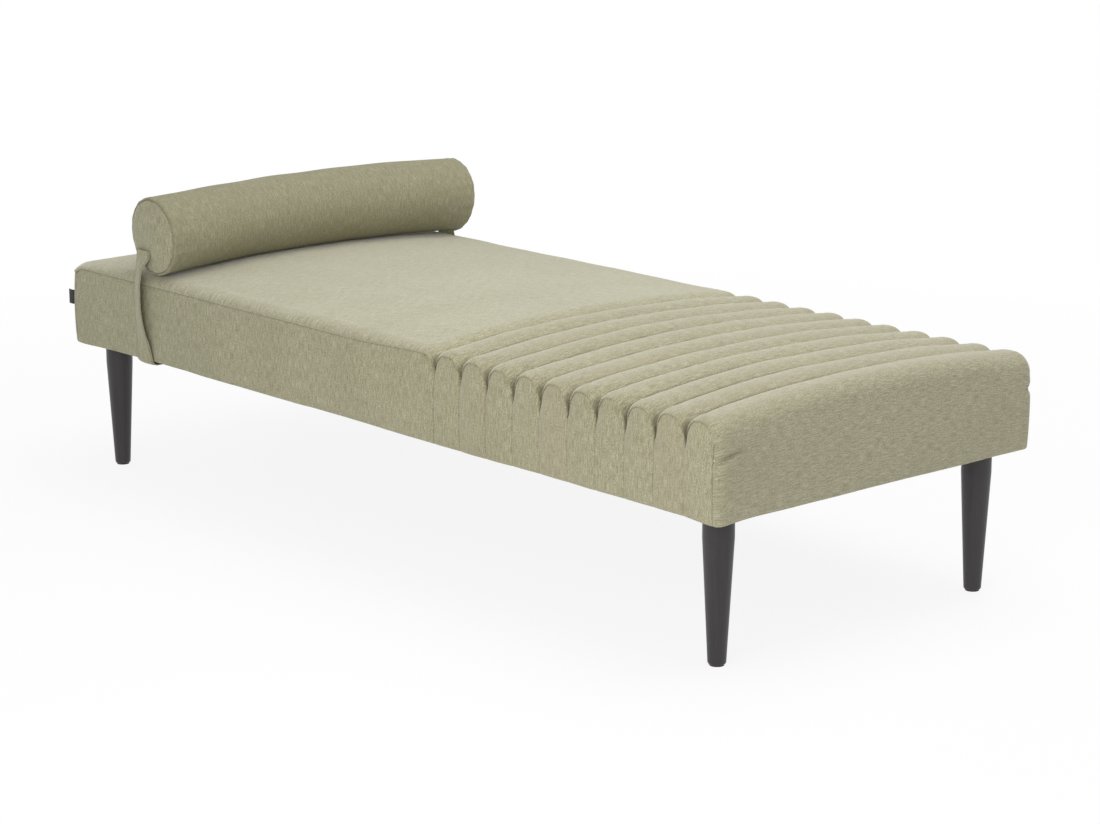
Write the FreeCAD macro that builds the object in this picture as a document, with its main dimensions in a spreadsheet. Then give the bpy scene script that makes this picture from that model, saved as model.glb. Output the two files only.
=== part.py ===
"""Upholstered chaise longue: a channelled bed on four turned legs, with a strapped bolster.

Frame: origin at the centre of the bed on the floor, +X towards the channelled foot end,
+Y towards the back long side, +Z up. Lengths are in millimetres.
"""
import FreeCAD, Part
import Sketcher
import math
import os

os.makedirs("parts", exist_ok=True)

doc = FreeCAD.newDocument("ChaiseLongue")
Vector = FreeCAD.Vector

# Driving dimensions
SIZES = {
    # Upholstered bed
    "bed_length": 1800,
    "bed_width": 733,
    "underside_height": 251,
    "side_top_height": 397,
    "shoulder_height": 414.5,
    "crown_height": 433,
    "edge_roll": 26,
    "corner_radius": 14,
    "head_corner_height": 395.5,
    "head_edge_height": 401.5,
    "head_slope_length": 230,
    # Channels across the foot half
    "channel_count": 10,
    "foot_channel_width": 78.2,
    "channel_pitch": 67.2,
    "channel_end_height": 404,
    "channel_depth": 10,
    "slit_height": 362,
    "flank_width": 1.5,
    "slit_spread": 3,
    "flank_height": 2,
    "slit_flank_height": 22,
    "seat_shoulder_run": 30,
    "foot_roll_drop": 34,
    "foot_crest_run": 38,
    # Covers and fillings
    "cover_thickness": 2,
    "hem_width": 24,
    "seam_height": 393,
    "wadding_thickness": 8,
    "felt_thickness": 3,
    "base_foam_top": 355,
    "foam_corner_ease": 4,
    "dust_cover_thickness": 1,
    "dust_cover_inset": 12,
    "leg_hole_clearance": 1,
    # Timber frame
    "rail_height": 60,
    "rail_thickness": 22,
    "cross_rail_count": 3,
    "cross_rail_height": 50,
    "block_size": 110,
    "block_nose": 60,
    "block_thickness": 25,
    "webbing_count": 11,
    "webbing_width": 60,
    "webbing_thickness": 1.5,
    "webbing_end_margin": 4,
    # Fasteners
    "screw_radius": 2.5,
    "screw_head_radius": 5,
    "screw_head_height": 3,
    "screw_length": 55,
    "screw_low": 15,
    "screw_high": 42,
    "block_screw_offset": 80,
    "staple_width": 10,
    "staple_wire": 0.6,
    "staple_leg": 8,
    "staple_inset": 17,
    "staple_pitch": 150,
    # Legs
    "leg_inset": 63,
    "leg_max_radius": 25.5,
    "leg_top_radius": 25,
    "leg_foot_radius": 14.75,
    "leg_barrel_length": 23,
    "leg_taper_start": 46,
    "leg_foot_fillet": 4,
    "glide_radius": 12,
    "glide_thickness": 2,
    "bolt_radius": 4,
    "bolt_depth": 40,
    "bolt_above_nut": 4,
    "nut_barrel_radius": 5,
    "nut_barrel_length": 12,
    "nut_flange_radius": 9.5,
    "nut_flange_thickness": 1.5,
    # Bolster and its strap
    "bolster_radius": 72,
    "bolster_end_inset": 5.5,
    "bolster_from_head": 285,
    "bolster_sag": 12,
    "bolster_cover": 2,
    "bolster_gap": 0.3,
    "strap_width": 48,
    "strap_from_head": 252,
    "strap_thickness": 2.5,
    "strap_side_gap": 0.5,
    "strap_under_gap": 2,
    "strap_bend_radius": 5,
    "strap_sewn_top": 478,
    "strap_sewn_bottom": 452,
    "strap_side_top": 398,
    # Blank label in the head seam
    "tag_length": 18.8,
    "tag_height": 28,
    "tag_thickness": 0.8,
    "tag_low": 321,
}

sheet = doc.addObject("Spreadsheet::Sheet", "Sizes")
for row, (alias, value) in enumerate(SIZES.items(), start=1):
    sheet.set("A%d" % row, alias)
    sheet.set("B%d" % row, str(value))
    sheet.setAlias("B%d" % row, alias)
doc.recompute()


def size(alias):
    """Value of one driving dimension, as the sheet holds it."""
    return float(sheet.get(alias))


# Expressions shared by several pieces
HALF_LENGTH = "Sizes.bed_length / 2"
HALF_WIDTH = "Sizes.bed_width / 2"
LINING = "(Sizes.cover_thickness + Sizes.wadding_thickness)"
FRAME_X = "(%s - %s)" % (HALF_LENGTH, LINING)
FRAME_Y = "(%s - %s)" % (HALF_WIDTH, LINING)
FRAME_BOTTOM = "(Sizes.underside_height + Sizes.cover_thickness)"
FRAME_TOP = "(%s + Sizes.rail_height)" % FRAME_BOTTOM
FELT_BOTTOM = "(%s + Sizes.webbing_thickness)" % FRAME_TOP
FOAM_BOTTOM = "(%s + Sizes.felt_thickness)" % FELT_BOTTOM
BLOCK_TOP = "(%s + Sizes.block_thickness)" % FRAME_BOTTOM
LEG_X = "(%s - Sizes.leg_inset)" % HALF_LENGTH
LEG_Y = "(%s - Sizes.leg_inset)" % HALF_WIDTH
CORNERS = {
    "head_front": (-1, -1),
    "head_back": (-1, 1),
    "foot_front": (1, -1),
    "foot_back": (1, 1),
}

subparts = []


def keep(obj, label):
    """Name an object as one finished piece of the chaise longue."""
    obj.Label = label
    subparts.append(obj)
    return obj


def bind(obj, **expressions):
    """Bind properties of an object to the sheet."""
    for name, expression in expressions.items():
        obj.setExpression(name, expression)


def place(obj, x="0", y="0", z="0"):
    """Bind an object's position to the sheet."""
    obj.setExpression("Placement.Base.x", x)
    obj.setExpression("Placement.Base.y", y)
    obj.setExpression("Placement.Base.z", z)


def box(name, low, lengths):
    """Box from its low corner and its three lengths, all expressions."""
    obj = doc.addObject("Part::Box", name)
    bind(obj, Length=lengths[0], Width=lengths[1], Height=lengths[2])
    place(obj, *low)
    return obj


def centred_box(name, middle_x, middle_y, bottom, lengths):
    """Box centred on a point in plan, standing on a height."""
    low_x = "%s - (%s) / 2" % (middle_x, lengths[0])
    low_y = "%s - (%s) / 2" % (middle_y, lengths[1])
    return box(name, (low_x, low_y, bottom), lengths)


def cylinder(name, radius, height, x, y, z):
    """Upright cylinder on a point."""
    obj = doc.addObject("Part::Cylinder", name)
    bind(obj, Radius=radius, Height=height)
    place(obj, x, y, z)
    return obj


def group(name, members):
    """Separate solids that share one node."""
    obj = doc.addObject("Part::Compound", name)
    obj.Links = members
    return obj


def cut(name, base, tool):
    """One object less another."""
    obj = doc.addObject("Part::Cut", name)
    obj.Base = base
    obj.Tool = tool
    return obj


def fuse(name, base, tool):
    """Two objects made one solid."""
    obj = doc.addObject("Part::Fuse", name)
    obj.Base = base
    obj.Tool = tool
    return obj


def feature(label, shape):
    """Soft piece whose shape comes from the functions below."""
    obj = doc.addObject("Part::Feature", label)
    obj.Shape = shape
    return keep(obj, label)


def origin_plane(body, role):
    """One of a body's own base planes."""
    return [plane for plane in body.Origin.OriginFeatures if plane.Role == role][0]


def outline_sketch(body, name, role, corners):
    """Closed outline through corners given as pairs of expressions, fixed from the origin."""
    sketch = body.newObject("Sketcher::SketchObject", name)
    sketch.AttachmentSupport = [(origin_plane(body, role), "")]
    sketch.MapMode = "FlatFace"
    points = [Vector(evaluate(body, a), evaluate(body, b), 0) for a, b in corners]
    count = len(points)
    for index in range(count):
        sketch.addGeometry(Part.LineSegment(points[index], points[(index + 1) % count]), False)
    for index in range(count):
        sketch.addConstraint(Sketcher.Constraint("Coincident", index, 2, (index + 1) % count, 1))
    for index, (across, up) in enumerate(corners):
        for kind, expression in (("DistanceX", across), ("DistanceY", up)):
            value = evaluate(body, expression)
            number = sketch.addConstraint(Sketcher.Constraint(kind, -1, 1, index, 1, value))
            sketch.setExpression("Constraints[%d]" % number, expression)
    return sketch


def evaluate(obj, expression):
    """Number that an expression gives now."""
    result = obj.evalExpression(expression)
    return float(getattr(result, "Value", result))


# Timber frame: two long rails, two end rails and the cross rails, all screwed from outside
def screw(name, x, y, z, turn):
    """Countersunk screw along Y or X, its head flush with the rail's outer face."""
    head = doc.addObject("Part::Cone", name + "_head")
    bind(head, Radius1="Sizes.screw_head_radius", Radius2="Sizes.screw_radius")
    bind(head, Height="Sizes.screw_head_height")
    shank = doc.addObject("Part::Cylinder", name + "_shank")
    bind(shank, Radius="Sizes.screw_radius", Height="Sizes.screw_length")
    both = fuse(name, head, shank)
    both.Placement.Rotation = turn
    place(both, x, y, z)
    return both


def frame_screws():
    """All the frame's screws: corner joints, cross rails and corner blocks."""
    into_front = FreeCAD.Rotation(Vector(1, 0, 0), -90)
    into_back = FreeCAD.Rotation(Vector(1, 0, 0), 90)
    into_head = FreeCAD.Rotation(Vector(0, 1, 0), 90)
    into_foot = FreeCAD.Rotation(Vector(0, 1, 0), -90)
    heights = [FRAME_BOTTOM + " + Sizes.screw_low", FRAME_BOTTOM + " + Sizes.screw_high"]
    block_height = FRAME_BOTTOM + " + Sizes.block_thickness / 2"
    along = ["%d * (%s - Sizes.rail_thickness / 2)" % (side, FRAME_X) for side in (-1, 1)]
    for index in range(cross_rails):
        along.append(cross_rail_place(index))
    screws = []
    for side, turn in ((-1, into_front), (1, into_back)):
        face = "%d * %s" % (side, FRAME_Y)
        for place_x in along:
            for height in heights:
                screws.append(screw("screw_%d" % len(screws), place_x, face, height, turn))
        for end in (-1, 1):
            block_x = "%d * (%s - Sizes.rail_thickness - Sizes.block_screw_offset)" % (end, FRAME_X)
            screws.append(screw("screw_%d" % len(screws), block_x, face, block_height, turn))
    for end, turn in ((-1, into_head), (1, into_foot)):
        face = "%d * %s" % (end, FRAME_X)
        for side in (-1, 1):
            block_y = "%d * (%s - Sizes.rail_thickness - Sizes.block_screw_offset)" % (side, FRAME_Y)
            screws.append(screw("screw_%d" % len(screws), face, block_y, block_height, turn))
    return keep(group("frame_screws", screws), "frame_screws")


def staple(name, x, y, along_x):
    """Staple under the dust cover, its two legs up into the rail."""
    half = "Sizes.staple_width / 2"
    wire = "Sizes.staple_wire"
    crown_z = "Sizes.underside_height - Sizes.dust_cover_thickness - Sizes.staple_wire"
    lengths = ("Sizes.staple_width", wire, wire) if along_x else (wire, "Sizes.staple_width", wire)
    obj = centred_box(name + "_crown", x, y, crown_z, lengths)
    for index, side in enumerate((-1, 1)):
        shift = "%d * (%s - %s / 2)" % (side, half, wire)
        leg_x = x + " + " + shift if along_x else x
        leg_y = y if along_x else y + " + " + shift
        leg_lengths = (wire, wire, "Sizes.staple_leg")
        leg = centred_box("%s_leg_%d" % (name, index), leg_x, leg_y, crown_z, leg_lengths)
        obj = fuse("%s_%d" % (name, index), obj, leg)
    return obj


def hem_staples():
    """Staples round the underside, through dust cover and hem."""
    members = []
    for side in (-1, 1):
        y = "%d * (%s - Sizes.staple_inset)" % (side, HALF_WIDTH)
        for index in range(long_staples):
            x = "%g * Sizes.staple_pitch" % (index - (long_staples - 1) / 2)
            members.append(staple("staple_%d" % len(members), x, y, True))
        x = "%d * (%s - Sizes.staple_inset)" % (side, HALF_LENGTH)
        for index in range(end_staples):
            y_end = "%g * Sizes.staple_pitch" % (index - (end_staples - 1) / 2)
            members.append(staple("staple_%d" % len(members), x, y_end, False))
    return keep(group("hem_staples", members), "hem_staples")


def cross_rail_place(index):
    """Middle of one cross rail along the bed."""
    return "%g * 2 * %s / %d" % (index - (cross_rails - 1) / 2, FRAME_X, cross_rails + 1)


def timber(label, low, lengths, fasteners):
    """Rail with its screw and staple holes."""
    drilled = cut(label + "_drilled", box(label + "_bar", low, lengths), fasteners[0])
    return keep(cut(label, drilled, fasteners[1]), label)


cross_rails = int(size("cross_rail_count"))
long_staples = int((size("bed_length") - 2 * size("staple_inset")) / size("staple_pitch"))
end_staples = int((size("bed_width") - 2 * size("staple_inset")) / size("staple_pitch"))
screws = frame_screws()
staples = hem_staples()
fasteners = (screws, staples)
rail = "Sizes.rail_thickness"
long_lengths = ("2 * " + FRAME_X, rail, "Sizes.rail_height")
end_lengths = (rail, "2 * (%s - %s)" % (FRAME_Y, rail), "Sizes.rail_height")
inner_low_y = "-(%s - %s)" % (FRAME_Y, rail)
timber("rail_front", ("-" + FRAME_X, "-" + FRAME_Y, FRAME_BOTTOM), long_lengths, fasteners)
timber("rail_back", ("-" + FRAME_X, "%s - %s" % (FRAME_Y, rail), FRAME_BOTTOM), long_lengths, fasteners)
timber("rail_head", ("-" + FRAME_X, inner_low_y, FRAME_BOTTOM), end_lengths, fasteners)
timber("rail_foot", ("%s - %s" % (FRAME_X, rail), inner_low_y, FRAME_BOTTOM), end_lengths, fasteners)
for index in range(cross_rails):
    low_x = "%s - %s / 2" % (cross_rail_place(index), rail)
    lengths = (rail, end_lengths[1], "Sizes.cross_rail_height")
    timber("cross_rail_%d" % (index + 1), (low_x, inner_low_y, FRAME_BOTTOM), lengths, fasteners)


# Corner blocks, each with a bore for the leg's bolt
def corner_block(corner, signs):
    """Plywood block in one corner of the frame, the bolt bore through it."""
    body = doc.addObject("PartDesign::Body", corner + "_block")
    edge = "Sizes.block_size"
    nose = "Sizes.block_nose"
    outline = [("0", "0"), (edge, "0"), (edge, nose), (nose, edge), ("0", edge)]
    sketch = outline_sketch(body, corner + "_block_outline", "XY_Plane", outline)
    pad = body.newObject("PartDesign::Pad", corner + "_block_pad")
    pad.Profile = sketch
    pad.setExpression("Length", "Sizes.block_thickness")
    sketch.Visibility = False
    bore_sketch = body.newObject("Sketcher::SketchObject", corner + "_bore_sketch")
    bore_sketch.AttachmentSupport = [(origin_plane(body, "XY_Plane"), "")]
    bore_sketch.MapMode = "FlatFace"
    offset = "Sizes.leg_inset - %s - Sizes.rail_thickness" % LINING
    at = evaluate(body, offset)
    circle = Part.Circle(Vector(at, at, 0), Vector(0, 0, 1), size("nut_barrel_radius"))
    bore_sketch.addGeometry(circle, False)
    for kind in ("DistanceX", "DistanceY"):
        number = bore_sketch.addConstraint(Sketcher.Constraint(kind, -1, 1, 0, 3, at))
        bore_sketch.setExpression("Constraints[%d]" % number, offset)
    number = bore_sketch.addConstraint(Sketcher.Constraint("Radius", 0, size("nut_barrel_radius")))
    bore_sketch.setExpression("Constraints[%d]" % number, "Sizes.nut_barrel_radius")
    bore = body.newObject("PartDesign::Pocket", corner + "_bore")
    bore.Profile = bore_sketch
    bore.Type = "ThroughAll"
    bore.Midplane = True
    body.Tip = bore
    quarter_turns = {(-1, -1): 0, (1, -1): 1, (1, 1): 2, (-1, 1): 3}[signs]
    body.Placement.Rotation = FreeCAD.Rotation(Vector(0, 0, 1), 90 * quarter_turns)
    place(body, "%d * (%s - %s)" % (signs[0], FRAME_X, rail),
          "%d * (%s - %s)" % (signs[1], FRAME_Y, rail), FRAME_BOTTOM)
    return keep(cut("block_" + corner, body, screws), "block_" + corner)


# Legs: turned, a slight barrel under the bed and then a long taper
def leg(corner, signs):
    """Turned leg with the blind bore for its bolt."""
    body = doc.addObject("PartDesign::Body", "leg_" + corner)
    foot = "Sizes.glide_thickness"
    top = FRAME_BOTTOM
    bore_end = "%s - Sizes.bolt_depth" % top
    profile = [
        ("0", foot),
        ("Sizes.leg_foot_radius", foot),
        ("Sizes.leg_max_radius", "%s - Sizes.leg_taper_start" % top),
        ("Sizes.leg_max_radius", "%s - Sizes.leg_barrel_length" % top),
        ("Sizes.leg_top_radius", top),
        ("Sizes.bolt_radius", top),
        ("Sizes.bolt_radius", bore_end),
        ("0", bore_end),
    ]
    sketch = outline_sketch(body, "leg_profile_" + corner, "XZ_Plane", profile)
    turned = body.newObject("PartDesign::Revolution", "leg_turned_" + corner)
    turned.Profile = sketch
    turned.ReferenceAxis = (sketch, ["V_Axis"])
    turned.Angle = 360
    sketch.Visibility = False
    doc.recompute()
    rim = foot_edge(turned.Shape)
    rounded = body.newObject("PartDesign::Fillet", "leg_rounded_" + corner)
    rounded.Base = (turned, [rim])
    rounded.setExpression("Radius", "Sizes.leg_foot_fillet")
    body.Tip = rounded
    place(body, "%d * %s" % (signs[0], LEG_X), "%d * %s" % (signs[1], LEG_Y))
    return keep(body, "leg_" + corner)


def foot_edge(shape):
    """Name of the outer circle at the foot of a leg."""
    for number, edge in enumerate(shape.Edges, start=1):
        circle = hasattr(edge.Curve, "Radius")
        if circle and abs(edge.BoundBox.ZMax - size("glide_thickness")) < 0.01:
            return "Edge%d" % number
    raise ValueError("no foot edge")


def t_nut(corner, x, y):
    """Flanged nut pressed into the top of a block."""
    flange = cylinder("flange_" + corner, "Sizes.nut_flange_radius", "Sizes.nut_flange_thickness",
                      x, y, BLOCK_TOP)
    barrel = cylinder("barrel_" + corner, "Sizes.nut_barrel_radius", "Sizes.nut_barrel_length",
                      x, y, BLOCK_TOP + " - Sizes.nut_barrel_length")
    body = fuse("nut_body_" + corner, flange, barrel)
    return cut("nut_" + corner, body, bolts[corner])


bolts = {}
glides = []
for corner, (side_x, side_y) in CORNERS.items():
    x = "%d * %s" % (side_x, LEG_X)
    y = "%d * %s" % (side_y, LEG_Y)
    above_leg = "Sizes.block_thickness + Sizes.nut_flange_thickness + Sizes.bolt_above_nut"
    bolts[corner] = cylinder("bolt_" + corner, "Sizes.bolt_radius", "Sizes.bolt_depth + " + above_leg,
                             x, y, FRAME_BOTTOM + " - Sizes.bolt_depth")
    glides.append(cylinder("glide_" + corner, "Sizes.glide_radius", "Sizes.glide_thickness", x, y, "0"))
    leg(corner, (side_x, side_y))
    corner_block(corner, (side_x, side_y))
nuts = [t_nut(corner, "%d * %s" % (signs[0], LEG_X), "%d * %s" % (signs[1], LEG_Y))
        for corner, signs in CORNERS.items()]
keep(group("leg_bolts", list(bolts.values())), "leg_bolts")
keep(group("leg_t_nuts", nuts), "leg_t_nuts")
keep(group("floor_glides", glides), "floor_glides")


# Webbing, felt, base foam and wadding round the frame
def webbing():
    """Elastic belts across the frame, side by side."""
    belts = []
    count = int(size("webbing_count"))
    width = "Sizes.webbing_width"
    span = "2 * (%s - Sizes.webbing_end_margin)" % FRAME_Y
    for index in range(count):
        middle = "%g * 2 * %s / %d" % (index - (count - 1) / 2, FRAME_X, count + 1)
        belts.append(centred_box("belt_%d" % index, middle, "0", FRAME_TOP,
                                 (width, span, "Sizes.webbing_thickness")))
    return keep(group("webbing_belts", belts), "webbing_belts")


def base_foam():
    """Firm foam slab over the felt, with corners a little rounder in plan than the cover's."""
    body = doc.addObject("PartDesign::Body", "base_foam")
    half_x = "(%s - Sizes.cover_thickness)" % HALF_LENGTH
    half_y = "(%s - Sizes.cover_thickness)" % HALF_WIDTH
    low_x = "-" + half_x
    low_y = "-" + half_y
    outline = [(low_x, low_y), (half_x, low_y), (half_x, half_y), (low_x, half_y)]
    sketch = outline_sketch(body, "base_foam_outline", "XY_Plane", outline)
    slab = body.newObject("PartDesign::Pad", "base_foam_slab")
    slab.Profile = sketch
    slab.setExpression("Length", "Sizes.base_foam_top - " + FOAM_BOTTOM)
    sketch.Visibility = False
    doc.recompute()
    upright = ["Edge%d" % number for number, edge in enumerate(slab.Shape.Edges, start=1)
               if edge.BoundBox.ZLength > 1]
    rounded = body.newObject("PartDesign::Fillet", "base_foam_corners")
    rounded.Base = (slab, upright)
    rounded.setExpression("Radius", "Sizes.corner_radius + Sizes.foam_corner_ease")
    body.Tip = rounded
    place(body, z=FOAM_BOTTOM)
    return keep(body, "base_foam")


def wadding():
    """Four strips of wadding over the outer faces of the rails."""
    thick = "Sizes.wadding_thickness"
    tall = "%s - %s" % (FOAM_BOTTOM, FRAME_BOTTOM)
    long_run = "2 * (%s - Sizes.corner_radius)" % HALF_LENGTH
    end_run = "2 * (%s - Sizes.edge_roll)" % HALF_WIDTH
    strips = []
    for side in (-1, 1):
        middle_y = "%d * (%s + %s / 2)" % (side, FRAME_Y, thick)
        strips.append(centred_box("wadding_side_%d" % side, "0", middle_y, FRAME_BOTTOM,
                                  (long_run, thick, tall)))
        middle_x = "%d * (%s + %s / 2)" % (side, FRAME_X, thick)
        strips.append(centred_box("wadding_end_%d" % side, middle_x, "0", FRAME_BOTTOM,
                                  (thick, end_run, tall)))
    return keep(group("frame_wadding", strips), "frame_wadding")


def dust_cover():
    """Thin cloth under the frame, stapled over the hems, with holes round the legs."""
    inset = "Sizes.dust_cover_inset"
    lengths = ("2 * (%s - %s)" % (HALF_LENGTH, inset), "2 * (%s - %s)" % (HALF_WIDTH, inset),
               "Sizes.dust_cover_thickness")
    bottom = "Sizes.underside_height - Sizes.dust_cover_thickness"
    cloth = centred_box("dust_cloth", "0", "0", bottom, lengths)
    holes = []
    for corner, signs in CORNERS.items():
        holes.append(cylinder("leg_hole_" + corner, "Sizes.leg_max_radius + Sizes.leg_hole_clearance",
                              "3 * Sizes.dust_cover_thickness", "%d * %s" % (signs[0], LEG_X),
                              "%d * %s" % (signs[1], LEG_Y), bottom + " - Sizes.dust_cover_thickness"))
    open_cloth = cut("dust_cloth_holed", cloth, group("leg_holes", holes))
    return keep(cut("dust_cover", open_cloth, staples), "dust_cover")


webbing()
felt_lengths = ("2 * " + FRAME_X, "2 * " + FRAME_Y, "Sizes.felt_thickness")
keep(centred_box("felt_pad", "0", "0", FELT_BOTTOM, felt_lengths), "felt_pad")
base_foam()
wadding()
dust_cover()


# Soft forms. Each is a loft across the bed, front to back, through outlines in planes of constant y.
# "inset" is 0 on the outside of the cover and the cover's thickness on the fillings inside it.
# A bend is where an arc's middle point lies between its ends, as a share along and a share down.
half_length = size("bed_length") / 2
half_width = size("bed_width") / 2
cover = size("cover_thickness")
foam_top = size("base_foam_top")
ribs = int(size("channel_count"))
pitch = size("channel_pitch")
seat_end = half_length - size("foot_channel_width") - (ribs - 1) * pitch
SHOULDER_BEND = (0.6, 0.28)
FOOT_BEND = (0.72, 0.3)


def stations():
    """Places across the bed where the outlines stand, close together over the edge rolls."""
    inner = half_width - cover
    roll = size("edge_roll")
    side = [inner - roll * (1 - math.cos(math.radians(angle))) for angle in (0, 22.5, 45, 67.5)]
    side += [(inner - roll) * share for share in (1, 0.8, 0.55, 0.28)]
    return [-y for y in side] + [0.0] + side[::-1]


def rise(y, inset):
    """How far up the edge roll the surface stands at y, from 0 at the side to 1."""
    depth = min(half_width - inset - abs(y), size("edge_roll"))
    return math.sqrt(1 - (1 - depth / size("edge_roll")) ** 2)


def blend(low, high, share):
    """Value between two heights."""
    return low + (high - low) * share


def crown(y, inset):
    """Height of the seat's crown at y."""
    reach = half_width - size("edge_roll")
    share = min(1.0, abs(y) / reach)
    return blend(size("crown_height"), size("shoulder_height"), share ** 2) - inset


def plan_corner(y, inset):
    """How far the rounded corner in plan draws the ends in at y."""
    radius = size("corner_radius") - inset
    depth = half_width - inset - abs(y)
    if depth >= radius:
        return 0.0
    return radius - math.sqrt(radius ** 2 - (radius - depth) ** 2)


def seat_top(y, inset):
    """Height of the smooth seat at y."""
    return blend(size("side_top_height") - inset, crown(y, inset), rise(y, inset))


def rib_top(y, inset):
    """Height of a channel's crest at y."""
    return blend(size("channel_end_height") - inset, crown(y, inset), rise(y, inset))


def valley(y, inset):
    """Height of the stitched groove between two channels at y."""
    middle = crown(y, inset) - size("channel_depth")
    return blend(size("slit_height") - inset, middle, rise(y, inset))


def flank(y, inset):
    """Width and height of the steep cloth beside a groove at y."""
    share = rise(y, inset)
    width = size("flank_width") + size("slit_spread") * (1 - share) + inset
    return width, blend(size("slit_flank_height"), size("flank_height"), share)


def line(y, start, end):
    """Straight edge between two (x, z) points at y."""
    return Part.LineSegment(Vector(start[0], y, start[1]), Vector(end[0], y, end[1])).toShape()


def arc(y, start, middle, end):
    """Arc through three (x, z) points at y."""
    points = [Vector(x, y, z) for x, z in (start, middle, end)]
    return Part.Arc(*points).toShape()


def levelling_arc(y, low, level):
    """Arc from a low point up to a point where it runs level."""
    run = level[0] - low[0]
    climb = level[1] - low[1]
    radius = (run ** 2 + climb ** 2) / (2 * climb)
    middle = (level[0] - run / 2, level[1] - radius + math.sqrt(radius ** 2 - (run / 2) ** 2))
    return arc(y, low, middle, level)


def seat_path(y, inset):
    """Top of the smooth seat at y, from the head face to the first groove."""
    head_x = -half_length + inset + plan_corner(y, inset)
    head_z = blend(size("head_corner_height"), size("head_edge_height"), rise(y, inset)) - inset
    top = seat_top(y, inset)
    width, height = flank(y, inset)
    slope_end = (-half_length + size("head_slope_length"), top)
    shoulder = (seat_end - size("seat_shoulder_run"), top)
    groove = (seat_end, valley(y, inset))
    lip = (seat_end - width, groove[1] + height)
    bend = (blend(shoulder[0], lip[0], SHOULDER_BEND[0]), blend(top, lip[1], SHOULDER_BEND[1]))
    edges = [
        levelling_arc(y, (head_x, head_z), slope_end),
        line(y, slope_end, shoulder),
        arc(y, shoulder, bend, lip),
        line(y, lip, groove),
    ]
    return (head_x, head_z), edges, groove


def rib_path(index, y, inset):
    """Top of one channel at y, from its groove on the head side."""
    low_x = seat_end + index * pitch
    high_x = low_x + pitch
    groove_z = valley(y, inset)
    width, height = flank(y, inset)
    top = rib_top(y, inset)
    start = (low_x, groove_z)
    lip = (low_x + width, groove_z + height)
    if index < ribs - 1:
        far_lip = (high_x - width, groove_z + height)
        end = (high_x, groove_z)
        crest = ((low_x + high_x) / 2, top)
        edges = [line(y, start, lip), arc(y, lip, crest, far_lip), line(y, far_lip, end)]
        return start, edges, end
    crest = (low_x + size("foot_crest_run"), top)
    end = (half_length - inset - plan_corner(y, inset), top - size("foot_roll_drop"))
    bend = (blend(crest[0], end[0], FOOT_BEND[0]), blend(crest[1], end[1], FOOT_BEND[1]))
    edges = [line(y, start, lip), levelling_arc(y, lip, crest), arc(y, crest, bend, end)]
    return start, edges, end


def closed(y, start, edges, end, corners):
    """Closed outline: a top path and straight edges through the corners back to its start."""
    points = [end] + corners + [start]
    sides = [line(y, a, b) for a, b in zip(points, points[1:])]
    return Part.Wire(edges + sides)


def loft(outline, places):
    """Solid through one outline at each place across the bed."""
    return Part.makeLoft([outline(y) for y in places], True, True)


def seat_outline(y):
    """Seat foam at y."""
    start, edges, end = seat_path(y, cover)
    return closed(y, start, edges, end, [(end[0], foam_top), (start[0], foam_top)])


def pad_outline(index, y):
    """Filling of one channel at y."""
    start, edges, end = rib_path(index, y, cover)
    return closed(y, start, edges, end, [(end[0], foam_top), (start[0], foam_top)])


def skin_outline(y, outer, inner):
    """Cloth between an outer and an inner path, each a start, its edges and an end."""
    ends = [line(y, outer[2], inner[2]), line(y, inner[0], outer[0])]
    return Part.Wire(outer[1] + [ends[0]] + inner[1][::-1] + [ends[1]])


def lengthened(y, path, before, after):
    """Path with a straight run added before its start and after its end."""
    start, edges, end = path
    if before:
        edges = [line(y, before, start)] + edges
        start = before
    if after:
        edges = edges + [line(y, end, after)]
        end = after
    return start, edges, end


def seat_cover_outline(y):
    """Smooth seat panel at y, from the seam on the head face to the first groove."""
    paths = []
    for inset in (0, cover):
        path = seat_path(y, inset)
        paths.append(lengthened(y, path, (path[0][0], size("seam_height")), None))
    return skin_outline(y, *paths)


def strip_outline(index, y):
    """Cover strip over one channel at y."""
    return skin_outline(y, rib_path(index, y, 0), rib_path(index, y, cover))


def hem_corners(y, sign):
    """Bottom of an end border at y: down its outside, along the hem and up its inside."""
    low = size("underside_height")
    outer_x = sign * (half_length - plan_corner(y, 0))
    inner_x = sign * (half_length - cover - plan_corner(y, cover))
    hem_x = sign * (half_length - size("hem_width"))
    return [(outer_x, low), (hem_x, low), (hem_x, low + cover), (inner_x, low + cover)]


def foot_cover_outline(y):
    """Last strip at y: over the last channel, down the foot face and under as a hem."""
    outer = rib_path(ribs - 1, y, 0)
    inner = rib_path(ribs - 1, y, cover)
    corners = [outer[2]] + hem_corners(y, 1) + [inner[2]]
    under = [line(y, a, b) for a, b in zip(corners, corners[1:])]
    back = line(y, inner[0], outer[0])
    return Part.Wire(outer[1] + under + inner[1][::-1] + [back])


def head_border_outline(y):
    """Head border at y, from its seam down and under as a hem."""
    corners = hem_corners(y, -1)
    seam = size("seam_height")
    points = [(corners[0][0], seam)] + corners + [(corners[-1][0], seam)]
    points.append(points[0])
    return Part.Wire([line(y, a, b) for a, b in zip(points, points[1:])])


def side_outline(y, paths, ends):
    """Side border at y under the given top paths, between its two ends."""
    edges = [edge for path in paths for edge in path[1]]
    low = size("underside_height")
    corners = [(ends[1], low), (ends[0], low)]
    return closed(y, paths[0][0], edges, paths[-1][2], corners)


def smooth_side_outline(y):
    """Border under the smooth seat at y."""
    path = seat_path(y, 0)
    return side_outline(y, [path], (path[0][0], seat_end))


def channel_side_outline(y):
    """Border under the channels at y, its top scalloped by their ends."""
    paths = [rib_path(index, y, 0) for index in range(ribs)]
    return side_outline(y, paths, (seat_end, paths[-1][2][0]))


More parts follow.
